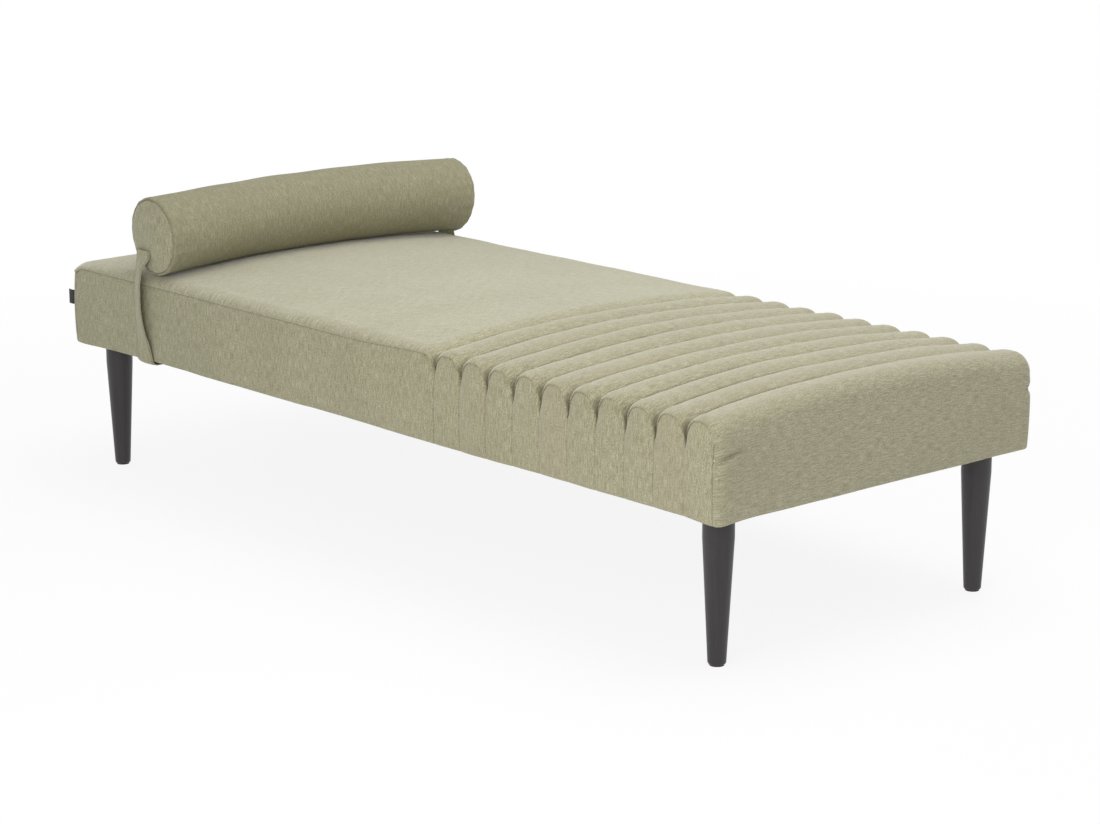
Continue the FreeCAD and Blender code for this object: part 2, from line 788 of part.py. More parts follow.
def side_border(outline, side, low_x, high_x):
    """Border on one long side: the upright cloth and its hem under the rail."""
    upright = loft(outline, [side * half_width, side * (half_width - cover)])
    depth = size("hem_width") - cover
    low_y = -(half_width - cover) if side < 0 else half_width - size("hem_width")
    hem = Part.makeBox(high_x - low_x, depth, cover, Vector(low_x, low_y, size("underside_height")))
    return upright.fuse(hem).removeSplitter()


across = stations()
hem_end = half_length - size("hem_width")
feature("seat_foam", loft(seat_outline, across))
for index in range(ribs):
    feature("channel_pad_%02d" % (index + 1), loft(lambda y: pad_outline(index, y), across))
feature("cover_seat_panel", loft(seat_cover_outline, across))
for index in range(ribs - 1):
    feature("cover_channel_%02d" % (index + 1), loft(lambda y: strip_outline(index, y), across))
hems = {
    "cover_foot_panel": loft(foot_cover_outline, across),
    "border_head": loft(head_border_outline, across),
}
for name, side in (("front", -1), ("back", 1)):
    hems["border_" + name] = side_border(smooth_side_outline, side, -hem_end, seat_end)
    hems["border_channels_" + name] = side_border(channel_side_outline, side, seat_end, hem_end)
doc.recompute()
for label, shape in hems.items():
    feature(label, shape.cut(staples.Shape))


# Bolster: a roll bowed over the seat's crown, so each piece is a slice of a large ring
sag = size("bolster_sag")
half_roll = half_width - size("bolster_end_inset")
bow_radius = (half_roll ** 2 + sag ** 2) / (2 * sag)
half_turn = math.degrees(math.asin(half_roll / bow_radius))
bolster_middle = size("crown_height") + size("bolster_gap") + size("bolster_radius")
bow_centre = Vector(size("bolster_from_head") - half_length, 0, bolster_middle - bow_radius)
cap_turn = math.degrees(size("bolster_cover") / bow_radius)
upright_ring = FreeCAD.Rotation(Vector(0, 0, 1), Vector(0, -1, 0), Vector(1, 0, 0), "ZXY")


def ring_slice(name, radius, low_turn, high_turn):
    """Slice of the ring between two turns about its axis, from the middle of the roll."""
    obj = doc.addObject("Part::Torus", name)
    obj.Radius1 = bow_radius
    obj.setExpression("Radius2", radius)
    obj.Angle1 = -180
    obj.Angle2 = 180
    obj.Angle3 = high_turn - low_turn
    start = FreeCAD.Rotation(Vector(0, 0, 1), low_turn)
    obj.Placement = FreeCAD.Placement(bow_centre, upright_ring.multiply(start))
    return obj


core_radius = "Sizes.bolster_radius - Sizes.bolster_cover"
inner_turn = half_turn - cap_turn
keep(ring_slice("bolster_core", core_radius, -inner_turn, inner_turn), "bolster_core")
outer_roll = ring_slice("sleeve_outside", "Sizes.bolster_radius", -inner_turn, inner_turn)
inner_roll = ring_slice("sleeve_inside", core_radius, -inner_turn, inner_turn)
keep(cut("bolster_sleeve", outer_roll, inner_roll), "bolster_sleeve")
keep(ring_slice("bolster_cap_front", "Sizes.bolster_radius", inner_turn, half_turn), "bolster_cap_front")
keep(ring_slice("bolster_cap_back", "Sizes.bolster_radius", -half_turn, -inner_turn), "bolster_cap_back")


# Strap: sewn to both caps, down the sides and under the frame
def cap_plane(z):
    """How far out the front cap's face is at a height, as a distance from the middle."""
    centre_z = bow_centre.z + bow_radius * math.cos(math.radians(half_turn))
    return half_roll - (centre_z - z) * math.tan(math.radians(half_turn))


def strap_side(side):
    """Strap from a cap down the side and round under the bed."""
    thick = size("strap_thickness")
    inner = half_width + size("strap_side_gap")
    outer = inner + thick
    top = size("strap_sewn_top")
    sewn = size("strap_sewn_bottom")
    upper = size("strap_side_top")
    under = size("underside_height") - size("strap_under_gap")
    bend = size("strap_bend_radius")
    diagonal = bend * math.sqrt(0.5)
    turn_z = under + bend - thick
    run_end = outer - bend
    outline = [
        (cap_plane(top), top),
        (cap_plane(sewn), sewn),
        (inner, upper),
        (inner, turn_z),
    ]
    small = bend - thick
    inner_mid = (run_end + small * math.sqrt(0.5), turn_z - small * math.sqrt(0.5))
    inner_low = (run_end, turn_z - small)
    outer_low = (run_end, turn_z - bend)
    outer_mid = (run_end + diagonal, turn_z - diagonal)
    outer_points = [
        (outer, turn_z),
        (outer, upper + thick),
        (cap_plane(sewn) + thick, sewn + thick),
        (cap_plane(top) + thick, top),
    ]
    x = size("strap_from_head") - half_length - size("strap_width") / 2

    def spot(point):
        return Vector(x, side * point[0], point[1])

    edges = [Part.LineSegment(spot(a), spot(b)).toShape() for a, b in zip(outline, outline[1:])]
    edges.append(Part.Arc(spot(outline[-1]), spot(inner_mid), spot(inner_low)).toShape())
    edges.append(Part.LineSegment(spot(inner_low), spot(outer_low)).toShape())
    edges.append(Part.Arc(spot(outer_low), spot(outer_mid), spot(outer_points[0])).toShape())
    edges += [Part.LineSegment(spot(a), spot(b)).toShape() for a, b in zip(outer_points, outer_points[1:])]
    edges.append(Part.LineSegment(spot(outer_points[-1]), spot(outline[0])).toShape())
    face = Part.Face(Part.Wire(edges))
    return face.extrude(Vector(size("strap_width"), 0, 0))


feature("strap_front", strap_side(-1))
feature("strap_back", strap_side(1))
strap_run = "2 * (%s + Sizes.strap_side_gap + Sizes.strap_thickness - Sizes.strap_bend_radius)" % HALF_WIDTH
strap_bottom = "Sizes.underside_height - Sizes.strap_under_gap - Sizes.strap_thickness"
strap_lengths = ("Sizes.strap_width", strap_run, "Sizes.strap_thickness")
strap_middle = "Sizes.strap_from_head - " + HALF_LENGTH
keep(centred_box("strap_under", strap_middle, "0", strap_bottom, strap_lengths), "strap_under")


# Blank label caught in the seam between the head border and the front border
def label_tag():
    """Flag label whose sewn edge follows the rounded corner."""
    seam_y = -(half_width - cover)
    seam_x = -half_length + plan_corner(seam_y, 0)
    corner_x = -half_length + plan_corner(-half_width, 0)
    share = size("tag_thickness") / cover
    far_x = blend(seam_x, corner_x, share)
    low = size("tag_low")
    face_y = seam_y - size("tag_thickness")
    end_x = seam_x - size("tag_length")
    points = [(end_x, seam_y), (seam_x, seam_y), (far_x, face_y), (end_x, face_y), (end_x, seam_y)]
    outline = Part.makePolygon([Vector(x, y, low) for x, y in points])
    return Part.Face(outline).extrude(Vector(0, 0, size("tag_height")))


feature("label_tag", label_tag())
doc.recompute()

# Check and export
for obj in doc.Objects:
    if "Invalid" in obj.State or "Error" in obj.State:
        raise RuntimeError("object did not recompute: " + obj.Label)
for obj in subparts:
    shape = obj.Shape
    if shape.isNull() or not shape.isValid() or not shape.Solids:
        raise RuntimeError("piece is not a valid solid: " + obj.Label)
    shape.exportStep("parts/%s.step" % obj.Label)
print("pieces:", len(subparts), "solids:", sum(len(obj.Shape.Solids) for obj in subparts))
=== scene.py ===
"""Looks of the upholstered chaise longue: covers, bolster, strap, legs, label, studio and camera.

Lengths are in metres, in the part's frame: +X towards the channelled foot end, +Y towards the
back, +Z up, the floor at z = 0.
"""
import math

import bpy
import numpy as np
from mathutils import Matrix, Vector


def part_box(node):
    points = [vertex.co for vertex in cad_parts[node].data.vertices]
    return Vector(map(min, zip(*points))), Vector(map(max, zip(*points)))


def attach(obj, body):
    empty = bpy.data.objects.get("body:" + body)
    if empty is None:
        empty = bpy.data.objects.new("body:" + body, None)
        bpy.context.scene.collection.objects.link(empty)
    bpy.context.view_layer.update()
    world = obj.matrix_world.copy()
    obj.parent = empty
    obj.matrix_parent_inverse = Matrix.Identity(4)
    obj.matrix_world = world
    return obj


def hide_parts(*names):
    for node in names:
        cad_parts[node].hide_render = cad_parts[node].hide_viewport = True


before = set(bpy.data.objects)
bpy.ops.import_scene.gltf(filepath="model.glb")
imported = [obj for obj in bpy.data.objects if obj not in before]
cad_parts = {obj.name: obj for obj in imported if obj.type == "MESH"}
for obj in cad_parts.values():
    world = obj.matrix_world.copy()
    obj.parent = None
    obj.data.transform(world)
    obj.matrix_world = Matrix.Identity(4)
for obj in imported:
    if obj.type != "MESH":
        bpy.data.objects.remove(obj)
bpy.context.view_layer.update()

# Measures taken from the frame
FOOT_LOW, FOOT_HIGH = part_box("cover_foot_panel")
BORDER_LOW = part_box("border_front")[0]
FOAM_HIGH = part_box("base_foam")[1]
SLEEVE_LOW, SLEEVE_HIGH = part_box("bolster_sleeve")
LABEL_LOW, LABEL_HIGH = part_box("label_tag")
HALF_LENGTH = FOOT_HIGH.x
HALF_WIDTH = -BORDER_LOW.y
UNDERSIDE = BORDER_LOW.z
FOAM_GAP = 0.0006
COVER_ROOM = HALF_WIDTH - FOAM_HIGH.y - FOAM_GAP
FIRST_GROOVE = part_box("cover_seat_panel")[1].x
LAST_GROOVE = FOOT_LOW.x
RIB_COUNT = 10
PITCH = (LAST_GROOVE - FIRST_GROOVE) / (RIB_COUNT - 1)
GROOVES = FIRST_GROOVE + PITCH * np.arange(RIB_COUNT)

# Heights of the seat's lines
SEAM_HEIGHT = 0.395
CROWN_HEIGHT = 0.433
SHOULDER_HEIGHT = 0.4145
HEAD_EDGE = 0.4015
RIB_END_HEIGHT = 0.4045
RIB_END_WAVE = 0.0012
SLIT_HEIGHTS = (0.374, 0.364, 0.361, 0.359, 0.357, 0.357, 0.358, 0.360, 0.358, 0.362)
LIP_RISE = 0.0065
LIP_REACH = (0.22, 0.03)
SURFACE_WAVE = 0.0010

# Rolled edges and corners
EDGE_ROLL = 0.028
CORNER_RADIUS = 0.014
HEAD_ROLL = 0.016
HEAD_SLOPE = 0.23
HEAD_CORNER_DROP = 0.009
HEAD_CORNER_REACH = 0.019
FOOT_ROLL = 0.036
FOOT_DROP = 0.032
LAST_RUN = 0.034

# Grooves between the channels, and the slits that they end in
GROOVE_WANDER = 0.0026
GROOVE_ROUND = 0.0115
GROOVE_CREASE = 0.0080
CREASE_HALF = 0.0048
CREASE_START = 0.004
SLIT_REACH = 0.065
SLIT_SHAPE = (2.8, 0.74)
SLIT_DRAW = 0.006
SLIT_DRAW_HALF = 0.011
SLIT_DRAW_REACH = 0.016
SLIT_DRAW_FALL = 0.035
SLIT_LIMIT = 0.03

# Upright cloth and its hem
SEAM_DRAW = 0.0016
SEAM_DRAW_REACH = 0.005
SEAM_VALLEY = 0.0040
SEAM_VALLEY_REACH = 0.026
SIDE_BULGE = 0.003
SIDE_WAVE = 0.0008
HEM_WIDTH = 0.024
HEM_ROLL = 0.004
HEM_RISE = -0.0012
HEM_WAVE = 0.0010
FOOT_DROOP, FOOT_DROOP_REACH = 0.0035, 0.045
HEAD_DROOP, HEAD_DROOP_REACH = 0.0045, 0.11

# Bolster
BOLSTER_X = (SLEEVE_LOW.x + SLEEVE_HIGH.x) / 2
BOLSTER_RADIUS = (SLEEVE_HIGH.x - SLEEVE_LOW.x) / 2
BOLSTER_TOP = SLEEVE_HIGH.z
BOLSTER_HALF = 0.3675
BOLSTER_SAG = 0.0112
BOLSTER_DROOP = 0.0040
BOLSTER_SKEW = -0.012
BOLSTER_BOW = (BOLSTER_HALF ** 2 + BOLSTER_SAG ** 2) / (2 * BOLSTER_SAG)
BOLSTER_PUCKER = 0.0007
BOLSTER_WAVE = 0.0009
BOLSTER_REST = 0.0006
RIM_ROUND = 0.005
RIM_SEAM = BOLSTER_RADIUS - 0.0052
RIM_TUCK = 0.0012
CAP_BULGE = 0.0062

# How dark the cloth is drawn on seams, in slits and in folds, and how wide those lines are: dark
# joints on the seams, painted shade in the slits and folds, and both in the grooves
EDGE_SHADE = 0.45
CORNER_SHADE = 0.66
# Painted shade in the folds, full at the fold depth below
FOLD_SHADE = 0.32
FOLD_DEPTH = 0.004
RIM_SHADES = (0.6, 0.25)
STITCH_SHADE = 0.5
SEAM_LINE = 0.0014
# Groove line: the stitched seam with painted shade in the groove; slit line, half width and fall:
# painted shade in the slits
GROOVE_LINE = 0.0040
SLIT_LINE = 0.009
SLIT_HALF = 0.0045
SLIT_FALL = 0.012


def smoothstep(low, high, value):
    """Smooth ramp from 0 at low to 1 at high."""
    share = np.clip((value - low) / (high - low), 0.0, 1.0)
    return share * share * (3.0 - 2.0 * share)


def fade(value, reach):
    """Straight fall from 1 at zero to 0 at the reach and past it."""
    return np.clip(1 - value / reach, 0, 1)


def mix(low, high, share):
    """Value between two others."""
    return low + (high - low) * share


def waves(x, y, seed, size):
    """Soft seeded undulation between about -1 and 1, from a few sines of unlike directions."""
    rng = np.random.RandomState(seed)
    total = np.zeros(np.broadcast(x, y).shape)
    for _ in range(7):
        angle = rng.uniform(0, math.pi)
        length = size * rng.uniform(0.6, 1.6)
        phase = rng.uniform(0, 2 * math.pi)
        run = x * math.cos(angle) + y * math.sin(angle)
        total += np.sin(2 * math.pi * run / length + phase)
    return total / 3.5


def quarter_turn(count):
    """Even angles from 0 to a right angle."""
    return np.linspace(0, math.pi / 2, count)


def run_length(points, axis):
    """Distance along a line of points, or along a grid's rows or columns."""
    step = np.linalg.norm(np.diff(points, axis=axis), axis=-1)
    pad = [(0, 0)] * step.ndim
    pad[axis] = (1, 0)
    return np.cumsum(np.pad(step, pad), axis=axis)


# Mesh helpers
STRIP_TONES = (0.2, 0.55, 0.15, 0.35, 0.9, 0.3, 0.1, 0.45, 0.75, 0.4)
PLAIN_TONE = 0.1


def strip_tone(x):
    """How beige the cloth is at x: each channel's strip is cut from its own place on the roll."""
    index = np.clip((x - FIRST_GROOVE) / PITCH, 0, RIB_COUNT - 1).astype(int)
    return np.where(x < FIRST_GROOVE, PLAIN_TONE, np.asarray(STRIP_TONES)[index])


def grid_faces(rows, columns, closed=False):
    """Quads of a grid of points, which may close on itself across its columns."""
    index = np.arange(rows * columns).reshape(rows, columns)
    after = np.roll(index, -1, axis=1)
    last = columns if closed else columns - 1
    corners = [index[:-1, :last], after[:-1, :last], after[1:, :last], index[1:, :last]]
    return np.stack(corners, -1).reshape(-1, 4)


def grid_piece(name, points, uv, seam, closed=False, body="root"):
    """Piece from a grid of points (rows, columns, 3), its cloth coordinate and its seam share."""
    faces = grid_faces(*points.shape[:2], closed)
    return mesh_piece(name, points.reshape(-1, 3), faces, uv.reshape(-1, 2), seam.ravel(), body)


def mesh_piece(name, vertices, faces, uv, seam, body="root"):
    """Smooth-shaded piece riding on a body."""
    mesh = bpy.data.meshes.new(name)
    mesh.from_pydata(np.asarray(vertices).tolist(), [], np.asarray(faces).tolist())
    mesh.update()
    layer = mesh.uv_layers.new(name="cloth")
    corners = np.empty(len(mesh.loops), np.int32)
    mesh.loops.foreach_get("vertex_index", corners)
    layer.data.foreach_set("uv", np.asarray(uv, np.float32)[corners].ravel())
    for label, values in (("seam", seam), ("tone", strip_tone(np.asarray(vertices)[:, 0]))):
        mark = mesh.attributes.new(label, "FLOAT", "POINT")
        mark.data.foreach_set("value", np.asarray(values, np.float32))
    mesh.polygons.foreach_set("use_smooth", np.ones(len(mesh.polygons), bool))
    piece = bpy.data.objects.new(name, mesh)
    bpy.context.scene.collection.objects.link(piece)
    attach(piece, body)
    return piece


def upholster(piece, cloth):
    """Gives a piece its cloth."""
    piece.data.materials.append(cloth)


# Places along and across the bed
END_STRETCH = 0.06
LIP_STRETCH = 0.04
RIB_STEPS = 32
CREST_STEP = RIB_STEPS // 2
ROLL_ANGLES = np.radians([0, 1.6, 3.4, 5.6, 8.5, 12.5, 17.5, 24, 32, 41, 50, 60, 70, 80, 90])
ROLL_DEPTHS = EDGE_ROLL * (1 - np.cos(ROLL_ANGLES))


def lengthwise():
    """X of every column of the seat: even over the smooth part, crowded at each groove."""
    head = -HALF_LENGTH + END_STRETCH * (1 - np.cos(quarter_turn(14)))
    smooth = np.linspace(-HALF_LENGTH + END_STRETCH, FIRST_GROOVE - LIP_STRETCH, 110)
    lip = FIRST_GROOVE - LIP_STRETCH * (1 - np.sin(quarter_turn(18)))
    columns = [head, smooth[1:], lip[1:]]
    even = np.linspace(0, 1, RIB_STEPS + 1)
    turn = mix(even, 0.5 * (1 - np.cos(math.pi * even)), 0.8)
    for rib in range(RIB_COUNT - 1):
        columns.append(FIRST_GROOVE + (rib + turn[1:]) * PITCH)
    columns.append(LAST_GROOVE + LAST_RUN * turn[1:CREST_STEP + 1] / turn[CREST_STEP])
    columns.append(np.linspace(LAST_GROOVE + LAST_RUN, HALF_LENGTH - FOOT_ROLL, 5)[1:])
    columns.append(HALF_LENGTH - FOOT_ROLL * (1 - np.sin(quarter_turn(22)[1:])))
    return np.concatenate(columns)


def crosswise():
    """Y of every row of the seat, crowded over the edge rolls."""
    middle = np.linspace(HALF_WIDTH - EDGE_ROLL, 0, 36)
    side = np.concatenate([HALF_WIDTH - ROLL_DEPTHS, middle[1:]])
    return np.concatenate([-side, side[::-1][1:]])


COLUMNS = lengthwise()
ROWS = crosswise()
GROOVE_GAPS = np.abs(COLUMNS[:, None] - GROOVES[None, :]).min(axis=1)
GROOVE_COLUMNS = np.abs(COLUMNS[:, None] - GROOVES[None, :]).argmin(axis=0)
FIRST_COLUMN = int(GROOVE_COLUMNS[0])


# Form of the seat
def rise(depth, reach):
    """How far up a roll the surface stands at a depth from the side: 0 at the side, 1 past it."""
    return np.sqrt(np.clip(1 - (1 - np.clip(depth / reach, 0, 1)) ** 2, 0, 1))


def crown(y):
    """Height of the crown at y."""
    share = np.clip(np.abs(y) / (HALF_WIDTH - EDGE_ROLL), 0, 1)
    return mix(CROWN_HEIGHT, SHOULDER_HEIGHT, share ** 2)


def rib_place(x):
    """Index of the channel at x and its place in it, from -1 to 1; 0 past the last crest."""
    index = np.clip(np.floor((x - FIRST_GROOVE) / PITCH + 1e-6), 0, RIB_COUNT - 1)
    place = 2 * (x - FIRST_GROOVE - index * PITCH) / PITCH - 1
    last = np.minimum((x - LAST_GROOVE) / LAST_RUN - 1, 0)
    return index.astype(int), np.clip(np.where(index == RIB_COUNT - 1, last, place), -1, 1)


def groove_drop(place, gap, x, depth):
    """How far the surface falls below a channel's crest towards a groove."""
    number = np.clip((x - FIRST_GROOVE) / PITCH, 0, RIB_COUNT - 1)
    slit = np.interp(number, np.arange(RIB_COUNT), SLIT_HEIGHTS)
    wide, sharp = SLIT_SHAPE
    side = (RIB_END_HEIGHT - slit) * (1 - (1 - np.abs(place) ** wide) ** sharp)
    crease = GROOVE_CREASE * fade(gap, CREASE_HALF) ** 1.7
    middle = GROOVE_ROUND * np.abs(place) ** 2.2 + crease
    share = np.clip(depth / SLIT_REACH, 0, 1) ** 0.5
    return mix(side + crease * np.clip(depth / CREASE_START, 0, 1), middle, share)


def rib_height(x, y, depth):
    """Height of the channelled half."""
    index, place = rib_place(x)
    end = RIB_END_HEIGHT + RIB_END_WAVE * np.sin(index * 2.3 + 0.6)
    drop = groove_drop(place, (1 - np.abs(place)) * PITCH / 2, x, depth)
    return mix(end, crown(y), rise(depth, EDGE_ROLL)) - drop


def flat_height(x, y, depth):
    """Height of the smooth half, which slopes down to the head and sinks at its corners."""
    up = rise(depth, EDGE_ROLL)
    near, from_head = FIRST_GROOVE - x, x + HALF_LENGTH
    side = SEAM_HEIGHT + LIP_RISE * smoothstep(*LIP_REACH, near)
    slope = (crown(y) - HEAD_EDGE) * fade(from_head, HEAD_SLOPE) ** 2
    drop = groove_drop(fade(near, PITCH / 2), near, x, depth)
    drop = drop + up * (HEAD_EDGE - SEAM_HEIGHT) * (1 - rise(from_head, HEAD_ROLL))
    from_corner = np.hypot(from_head, depth) / HEAD_CORNER_REACH
    drop = drop + HEAD_CORNER_DROP * np.exp(-from_corner ** 2)
    return mix(side, crown(y) - slope, up) - drop


def seat_height(x, y):
    """Height of the seat's top."""
    depth = HALF_WIDTH - np.abs(y)
    height = np.where(x < FIRST_GROOVE, flat_height(x, y, depth), rib_height(x, y, depth))
    over = np.clip((x - (HALF_LENGTH - FOOT_ROLL)) / FOOT_ROLL, 0, 1)
    height = height - FOOT_DROP * (1 - np.sqrt(1 - over ** 2))
    soft = rise(depth, EDGE_ROLL) * smoothstep(0, 0.1, HALF_LENGTH - np.abs(x))
    return height + SURFACE_WAVE * soft * waves(x, y, 4, 0.22)


def seat_points():
    """Grid of the seat's top, rounded in plan at the corners, with grooves that wander a little."""
    x, y = np.meshgrid(COLUMNS, ROWS)
    from_side = HALF_WIDTH - np.abs(y)
    channelled = smoothstep(FIRST_GROOVE - 0.06, FIRST_GROOVE, x)
    channelled = channelled * smoothstep(HALF_LENGTH, LAST_GROOVE, x)
    wander = GROOVE_WANDER * channelled * smoothstep(0.0, 0.11, from_side) * waves(x, y, 11, 0.4)
    depth = CORNER_RADIUS - np.clip(from_side, 0, CORNER_RADIUS)
    inset = CORNER_RADIUS - np.sqrt(np.clip(CORNER_RADIUS ** 2 - depth ** 2, 0, None))
    near_end = np.clip((np.abs(x) - (HALF_LENGTH - END_STRETCH)) / END_STRETCH, 0, 1)
    return np.stack([x + wander - np.sign(x) * near_end * inset, y, seat_height(x, y)], -1)


# The seat's outline, which the upright cloth hangs from
def ring_points(grid):
    """The grid's outline, counterclockwise from the head front corner."""
    return np.concatenate([grid[0, :-1], grid[:-1, -1], grid[-1, :0:-1], grid[:0:-1, 0]])


def set_ring(grid, ring):
    """Puts a ring back on the grid's outline."""
    grid[0, :-1] = ring[:FOOT_START]
    grid[:-1, -1] = ring[FOOT_START:FOOT_END]
    grid[-1, :0:-1] = ring[FOOT_END:HEAD_START]
    grid[:0:-1, 0] = ring[HEAD_START:]


def plan_normals(ring):
    """Outward direction in plan at each point of the closed ring."""
    along = np.roll(ring, -1, axis=0) - np.roll(ring, 1, axis=0)
    along = along[:, :2] / np.linalg.norm(along[:, :2], axis=1, keepdims=True)
    return np.stack([along[:, 1], -along[:, 0], np.zeros(len(along))], -1)


SEAT = seat_points()
ROW_TOTAL, COLUMN_TOTAL = SEAT.shape[:2]
RING = ring_points(SEAT)
NORMALS = plan_normals(RING)
FOOT_START = COLUMN_TOTAL - 1
FOOT_END = FOOT_START + ROW_TOTAL - 1
HEAD_START = FOOT_END + COLUMN_TOTAL - 1
RING_RUN = run_length(RING[:, :2], 0)
CLOSING_STEP = 0.0005
ON_FOOT = np.zeros(len(RING))
ON_FOOT[FOOT_START:FOOT_END + 1] = 1.0


def seam_distances():
    """Distance in plan from each ring point to the nearest upright seam."""
    corners = [0, FOOT_START, FOOT_END, HEAD_START]
    places = np.concatenate([corners, GROOVE_COLUMNS, HEAD_START - GROOVE_COLUMNS])
    apart = np.abs(RING_RUN[:, None] - RING_RUN[places][None, :])
    return np.min(np.minimum(apart, RING_RUN[-1] - apart), axis=1)


def slit_distances():
    """Distance along the bed from each ring point on the sides to the nearest channel groove."""
    apart = np.abs(RING[:, :1] - GROOVES[None, :]).min(axis=1)
    return np.where(np.abs(RING[:, 1]) > HALF_WIDTH - 1e-6, apart, 1.0)


SEAMS = seam_distances()
SLITS = slit_distances()


# Upright cloth. Folds: the foot corner that a fold is measured from, then where it starts and
# ends (distance along the ring from that corner, height), its width and its depth
CREASES = (
    (FOOT_START, 0.001, 0.349, 0.088, 0.367, 0.0044, 0.0056),
    (FOOT_START, 0.002, 0.338, 0.095, 0.355, 0.0080, -0.0032),
    (FOOT_END, -0.003, 0.351, -0.045, 0.358, 0.0060, 0.0040),
    (FOOT_START, -0.020, 0.350, 0.000, 0.346, 0.0030, 0.0018),
    (FOOT_START, -0.324, 0.338, -0.294, 0.334, 0.0030, 0.0016),
    (FOOT_START, -0.586, 0.330, -0.551, 0.322, 0.0040, 0.0012),
)
TOP_STEPS = (0.0, 0.0011, 0.0023, 0.004, 0.0065, 0.010, 0.015, 0.021)
WALL_ROWS = 26
HEM_ANGLES = (30, 60, 90)
HEM_DEPTHS = (HEM_WIDTH / 2, HEM_WIDTH)
HEM_ROWS = len(HEM_ANGLES) + len(HEM_DEPTHS)


def crease_dent(z, corner, start, low, end, high, width, depth):
    """Depth of a short pulled fold at each point of the wall; below 0 it stands out."""
    where = np.stack([np.broadcast_to(RING_RUN - RING_RUN[corner], z.shape), z], -1)
    first = np.array([start, low])
    run = np.array([end, high]) - first
    share = np.clip(((where - first) @ run) / (run @ run), 0, 1)
    apart = np.linalg.norm(where - first - share[..., None] * run, axis=-1)
    along = np.sin(math.pi * np.clip(share, 0.05, 0.97) ** 0.6)
    return depth * np.exp(-(apart / width) ** 2) * along


def above_foam(z):
    """0 beside the firm foam, which fills the cover to its top, and 1 just over it."""
    return smoothstep(FOAM_HIGH.z + 0.001, FOAM_HIGH.z + 0.010, z)


def wall_shift(z, down, fall):
    """How far the upright cloth stands out from the ring at each column.

    down is the distance below the seam and fall the share of the way to the bottom.
    """
    height = np.clip((z - UNDERSIDE) / (SEAM_HEIGHT - UNDERSIDE), 0, 1)
    bulge = SIDE_BULGE * np.sin(math.pi * height) ** 0.7
    draw = SEAM_DRAW * (1 - ON_FOOT) * fade(down, SEAM_DRAW_REACH) ** 2
    seam = SEAM_DRAW * fade(SEAMS, SEAM_DRAW_REACH) ** 2
    valley = SEAM_VALLEY * (smoothstep(0.0, SEAM_VALLEY_REACH, SEAMS) - 1.0)
    valley = valley * mix(1.0, 0.15, fall ** 0.6)
    wave = SIDE_WAVE * waves(RING[:, 0] + 0.7 * RING[:, 1], z * 0.35, 9, 0.12)
    slit = SLIT_DRAW * fade(SLITS, SLIT_DRAW_HALF) ** 2 * fade(down, SLIT_DRAW_FALL) ** 2
    shift = bulge - draw - seam - slit * above_foam(z) + valley + wave * np.clip(down / 0.02, 0, 1)
    return np.maximum(shift, mix(-COVER_ROOM, -SLIT_LIMIT, above_foam(z)))


def bottom_heights():
    """Height of the bottom edge round the ring: it droops at the foot's front corner and head."""
    from_head = np.minimum(RING_RUN, RING_RUN[-1] - RING_RUN)
    from_foot = RING_RUN - RING_RUN[FOOT_START]
    droop = FOOT_DROOP * np.exp(-np.square(from_foot / FOOT_DROOP_REACH))
    droop += HEAD_DROOP * np.exp(-np.square(from_head / HEAD_DROOP_REACH))
    return UNDERSIDE + HEM_ROLL + HEM_RISE - droop + HEM_WAVE * waves(RING_RUN, RING_RUN * 0, 3, 0.3)


def hem_rows(bottom):
    """Rows that roll in from the bottom edge and run on as a hem."""
    rows = []
    for degrees in HEM_ANGLES:
        turn = math.radians(degrees)
        row = bottom - NORMALS * HEM_ROLL * (1 - math.cos(turn))
        row[:, 2] = bottom[:, 2] - HEM_ROLL * math.sin(turn)
        rows.append(row)
    for depth in HEM_DEPTHS:
        row = bottom - NORMALS * depth
        row[:, 2] = mix(rows[-1][:, 2], UNDERSIDE, 0.6)
        rows.append(row)
    return rows


def wall_points():
    """Rows of the upright cloth under the whole ring, and how deep its folds are at each point."""
    base = bottom_heights()
    top = RING[:, 2]
    levels = [top - step for step in TOP_STEPS]
    levels += [mix(levels[-1], base, share) for share in np.linspace(0, 1, WALL_ROWS)[1:]]
    rows = []
    for z in levels:
        row = RING + NORMALS * wall_shift(z, top - z, (top - z) / (top - base))[:, None]
        row[:, 2] = z
        rows.append(row)
    wall = np.stack(rows + hem_rows(rows[-1]))
    dent = sum(crease_dent(wall[..., 2], *crease) for crease in CREASES)
    return wall - NORMALS[None] * dent[..., None], dent


def draw_seams():
    """Pulls the seat's rows beside the side seams in with them."""
    slit = SLIT_DRAW * fade(GROOVE_GAPS, SLIT_DRAW_HALF) ** 2
    seam = SEAM_DRAW * fade(EDGE_ROLL * ROLL_ANGLES, SEAM_DRAW_REACH) ** 2
    for row in range(1, len(ROLL_ANGLES)):
        inward = seam[row] + slit * fade(ROLL_DEPTHS[row], SLIT_DRAW_REACH) ** 2
        for place, side_way in ((row, 1), (-1 - row, -1)):
            SEAT[place, 1:-1, 1] += side_way * (inward * above_foam(SEAT[place, :, 2]))[1:-1]


WALL, DENT = wall_points()
set_ring(SEAT, WALL[0])
draw_seams()


# Cloth coordinates and the shares of seam and painted shade on the seat and the upright cloth
def top_uv():
    """Cloth coordinate of the seat: u along the bed, v across it, with the yarn."""
    along = run_length(SEAT, 1)[ROW_TOTAL // 2]
    across = run_length(SEAT, 0)[:, COLUMN_TOTAL // 3]
    return np.stack(np.meshgrid(along, across), -1)


